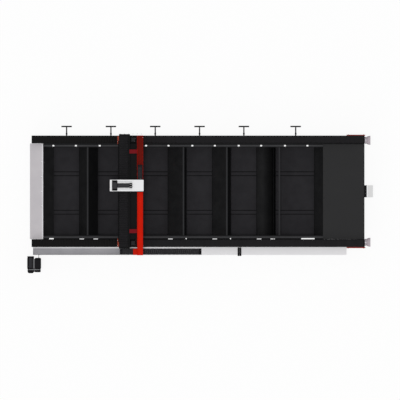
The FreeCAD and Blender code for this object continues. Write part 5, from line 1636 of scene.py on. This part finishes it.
flatDuct = {
    "left": -2.399, "front": 0.342, "back": 0.470, "low": 1.556, "top": 1.596,
    "edge": 0.004, "lidEdge": 0.0015, "overlap": 0.002, "lidRise": 0.002,
    "lidInset": (0.004, 0.002, 0.018),        # at the left, at the right and along both sides
    "bar": (-2.044, -1.969), "barOut": 0.010, "barRise": 0.008,
    "plug": [(0, 0.006), (0.005, 0.006), (0.0085, 0.004), (0.0095, 0), (0, 0)],
    "plugInset": (0.018, 0.020, 0.030),
    "gland": [(0, 0), (0.0088, 0), (0.0088, 0.005), (0.007, 0.007), (0.007, 0.012), (0, 0.012)],
    "glandInset": 0.032,
}


def makeDuct():
    left, near, far, low, top = (flatDuct[key] for key in ("left", "front", "back", "low", "top"))
    barLeft, barRight = flatDuct["bar"]
    out, edge, overlap = flatDuct["barOut"], flatDuct["edge"], flatDuct["overlap"]
    bm = bmesh.new()
    join(bm, block((left, near, low), (barLeft + overlap, far, top), edge))
    lidLeft, lidRight, lidSide = flatDuct["lidInset"]
    join(bm, block((left + lidLeft, near + lidSide, top - overlap),
                   (barLeft - lidRight, far - lidSide, top + flatDuct["lidRise"]),
                   flatDuct["lidEdge"]), 1)
    join(bm, block((barLeft, near - out, low + 0.001),
                   (barRight, far + out, top + flatDuct["barRise"]), edge), 2)
    plugLeft, plugRight, plugSide = flatDuct["plugInset"]
    joinAll(bm, turned(flatDuct["plug"], 16), 3,
            [Matrix.Translation((x, y, top + flatDuct["barRise"] - 0.0002))
             for x in (barLeft + plugLeft, barRight - plugRight)
             for y in (near + plugSide, far - plugSide)])
    inset = flatDuct["glandInset"]
    joinAll(bm, turned(flatDuct["gland"], 12), 2,
            [atPlace((barRight, y, (low + top) / 2), "+X") for y in (near + inset, far - inset)])
    finishPiece("flat_duct", bm, ["driveBlack", "ductGrey", "driveBlack", "plugWhite"], "carriage",
                ["cable_duct"])


makeHood()
makeHeightDrive()
makeDuct()
print("carriage hood is dressed")


# Cutting head: collimator barrel, focus housing, ceramic ring and copper nozzle, as outlines of
# (radius, height above the nozzle's tip)

cuttingHead = {
    "middle": (-2.500, 0.406), "low": 0.765,
    "nozzle": [(0.0006, 0), (0.0048, 0), (0.0055, 0.001), (0.0135, 0.016), (0.0155, 0.017),
               (0.0155, 0.020), (0.006, 0.020), (0.0012, 0.006)],
    "ceramic": [(0.005, 0.020), (0.0185, 0.020), (0.0195, 0.0215), (0.0195, 0.032),
                (0.005, 0.032)],
    "focus": [(0, 0.032), (0.0215, 0.032), (0.0225, 0.034), (0.030, 0.040), (0.0375, 0.046),
              (0.0375, 0.066), (0.0360, 0.068), (0.0360, 0.074), (0.0378, 0.076),
              (0.0378, 0.094), (0.0455, 0.096), (0.0460, 0.098), (0.0460, 0.150)],
    "grooves": 7, "grooveStart": 0.156, "groovePitch": 0.011,
    "groove": [(0.0460, 0), (0.0425, 0.001), (0.0425, 0.004), (0.0460, 0.005)],
    "collimator": [(0.0460, 0.245), (0.0460, 0.262), (0.0440, 0.264), (0.0440, 0.278),
                   (0.0220, 0.282), (0.0220, 0.3045), (0, 0.3045)],
    "fitting": [(0, 0), (0.007, 0), (0.007, 0.008), (0.005, 0.010), (0.005, 0.018),
                (0.0035, 0.018), (0, 0.016)],
    "fittingOut": 0.038, "fittings": [(0.120, 90), (0.120, 270), (0.254, 90), (0.254, 270)],
    "bolt": (0.0028, 0.003), "bolts": 6, "boltCircle": 0.033, "boltHeight": 0.2785,
}


def makeCuttingHead():
    grooves = []
    for index in range(cuttingHead["grooves"]):
        start = cuttingHead["grooveStart"] + index * cuttingHead["groovePitch"]
        grooves += [(radius, start + height) for radius, height in cuttingHead["groove"]]
    body = cuttingHead["focus"] + grooves + cuttingHead["collimator"]
    bm = bmesh.new()
    stand = Matrix.Translation((*cuttingHead["middle"], cuttingHead["low"]))
    join(bm, turned(body, 48), 0, stand)
    join(bm, turned(cuttingHead["ceramic"], 40, closed=True), 1, stand)
    join(bm, turned(cuttingHead["nozzle"], 40, closed=True), 2, stand)
    joinAll(bm, turned(cuttingHead["fitting"], 12), 3,
            [stand @ Matrix.Rotation(math.radians(turn), 4, "Z")
             @ atPlace((cuttingHead["fittingOut"], 0, height), "+X")
             for height, turn in cuttingHead["fittings"]])
    bolts = boltCircle(cuttingHead["boltCircle"], cuttingHead["bolts"], cuttingHead["boltHeight"])
    joinAll(bm, screwHead(*cuttingHead["bolt"]), 3, [stand @ spot for spot in bolts])
    finishPiece("laser_head", bm, ["headMetal", "ceramicWhite", "nozzleCopper", "steelBright"],
                "cutting_unit", ["cutting_head"])


makeCuttingHead()
print("cutting head hangs from its slide")
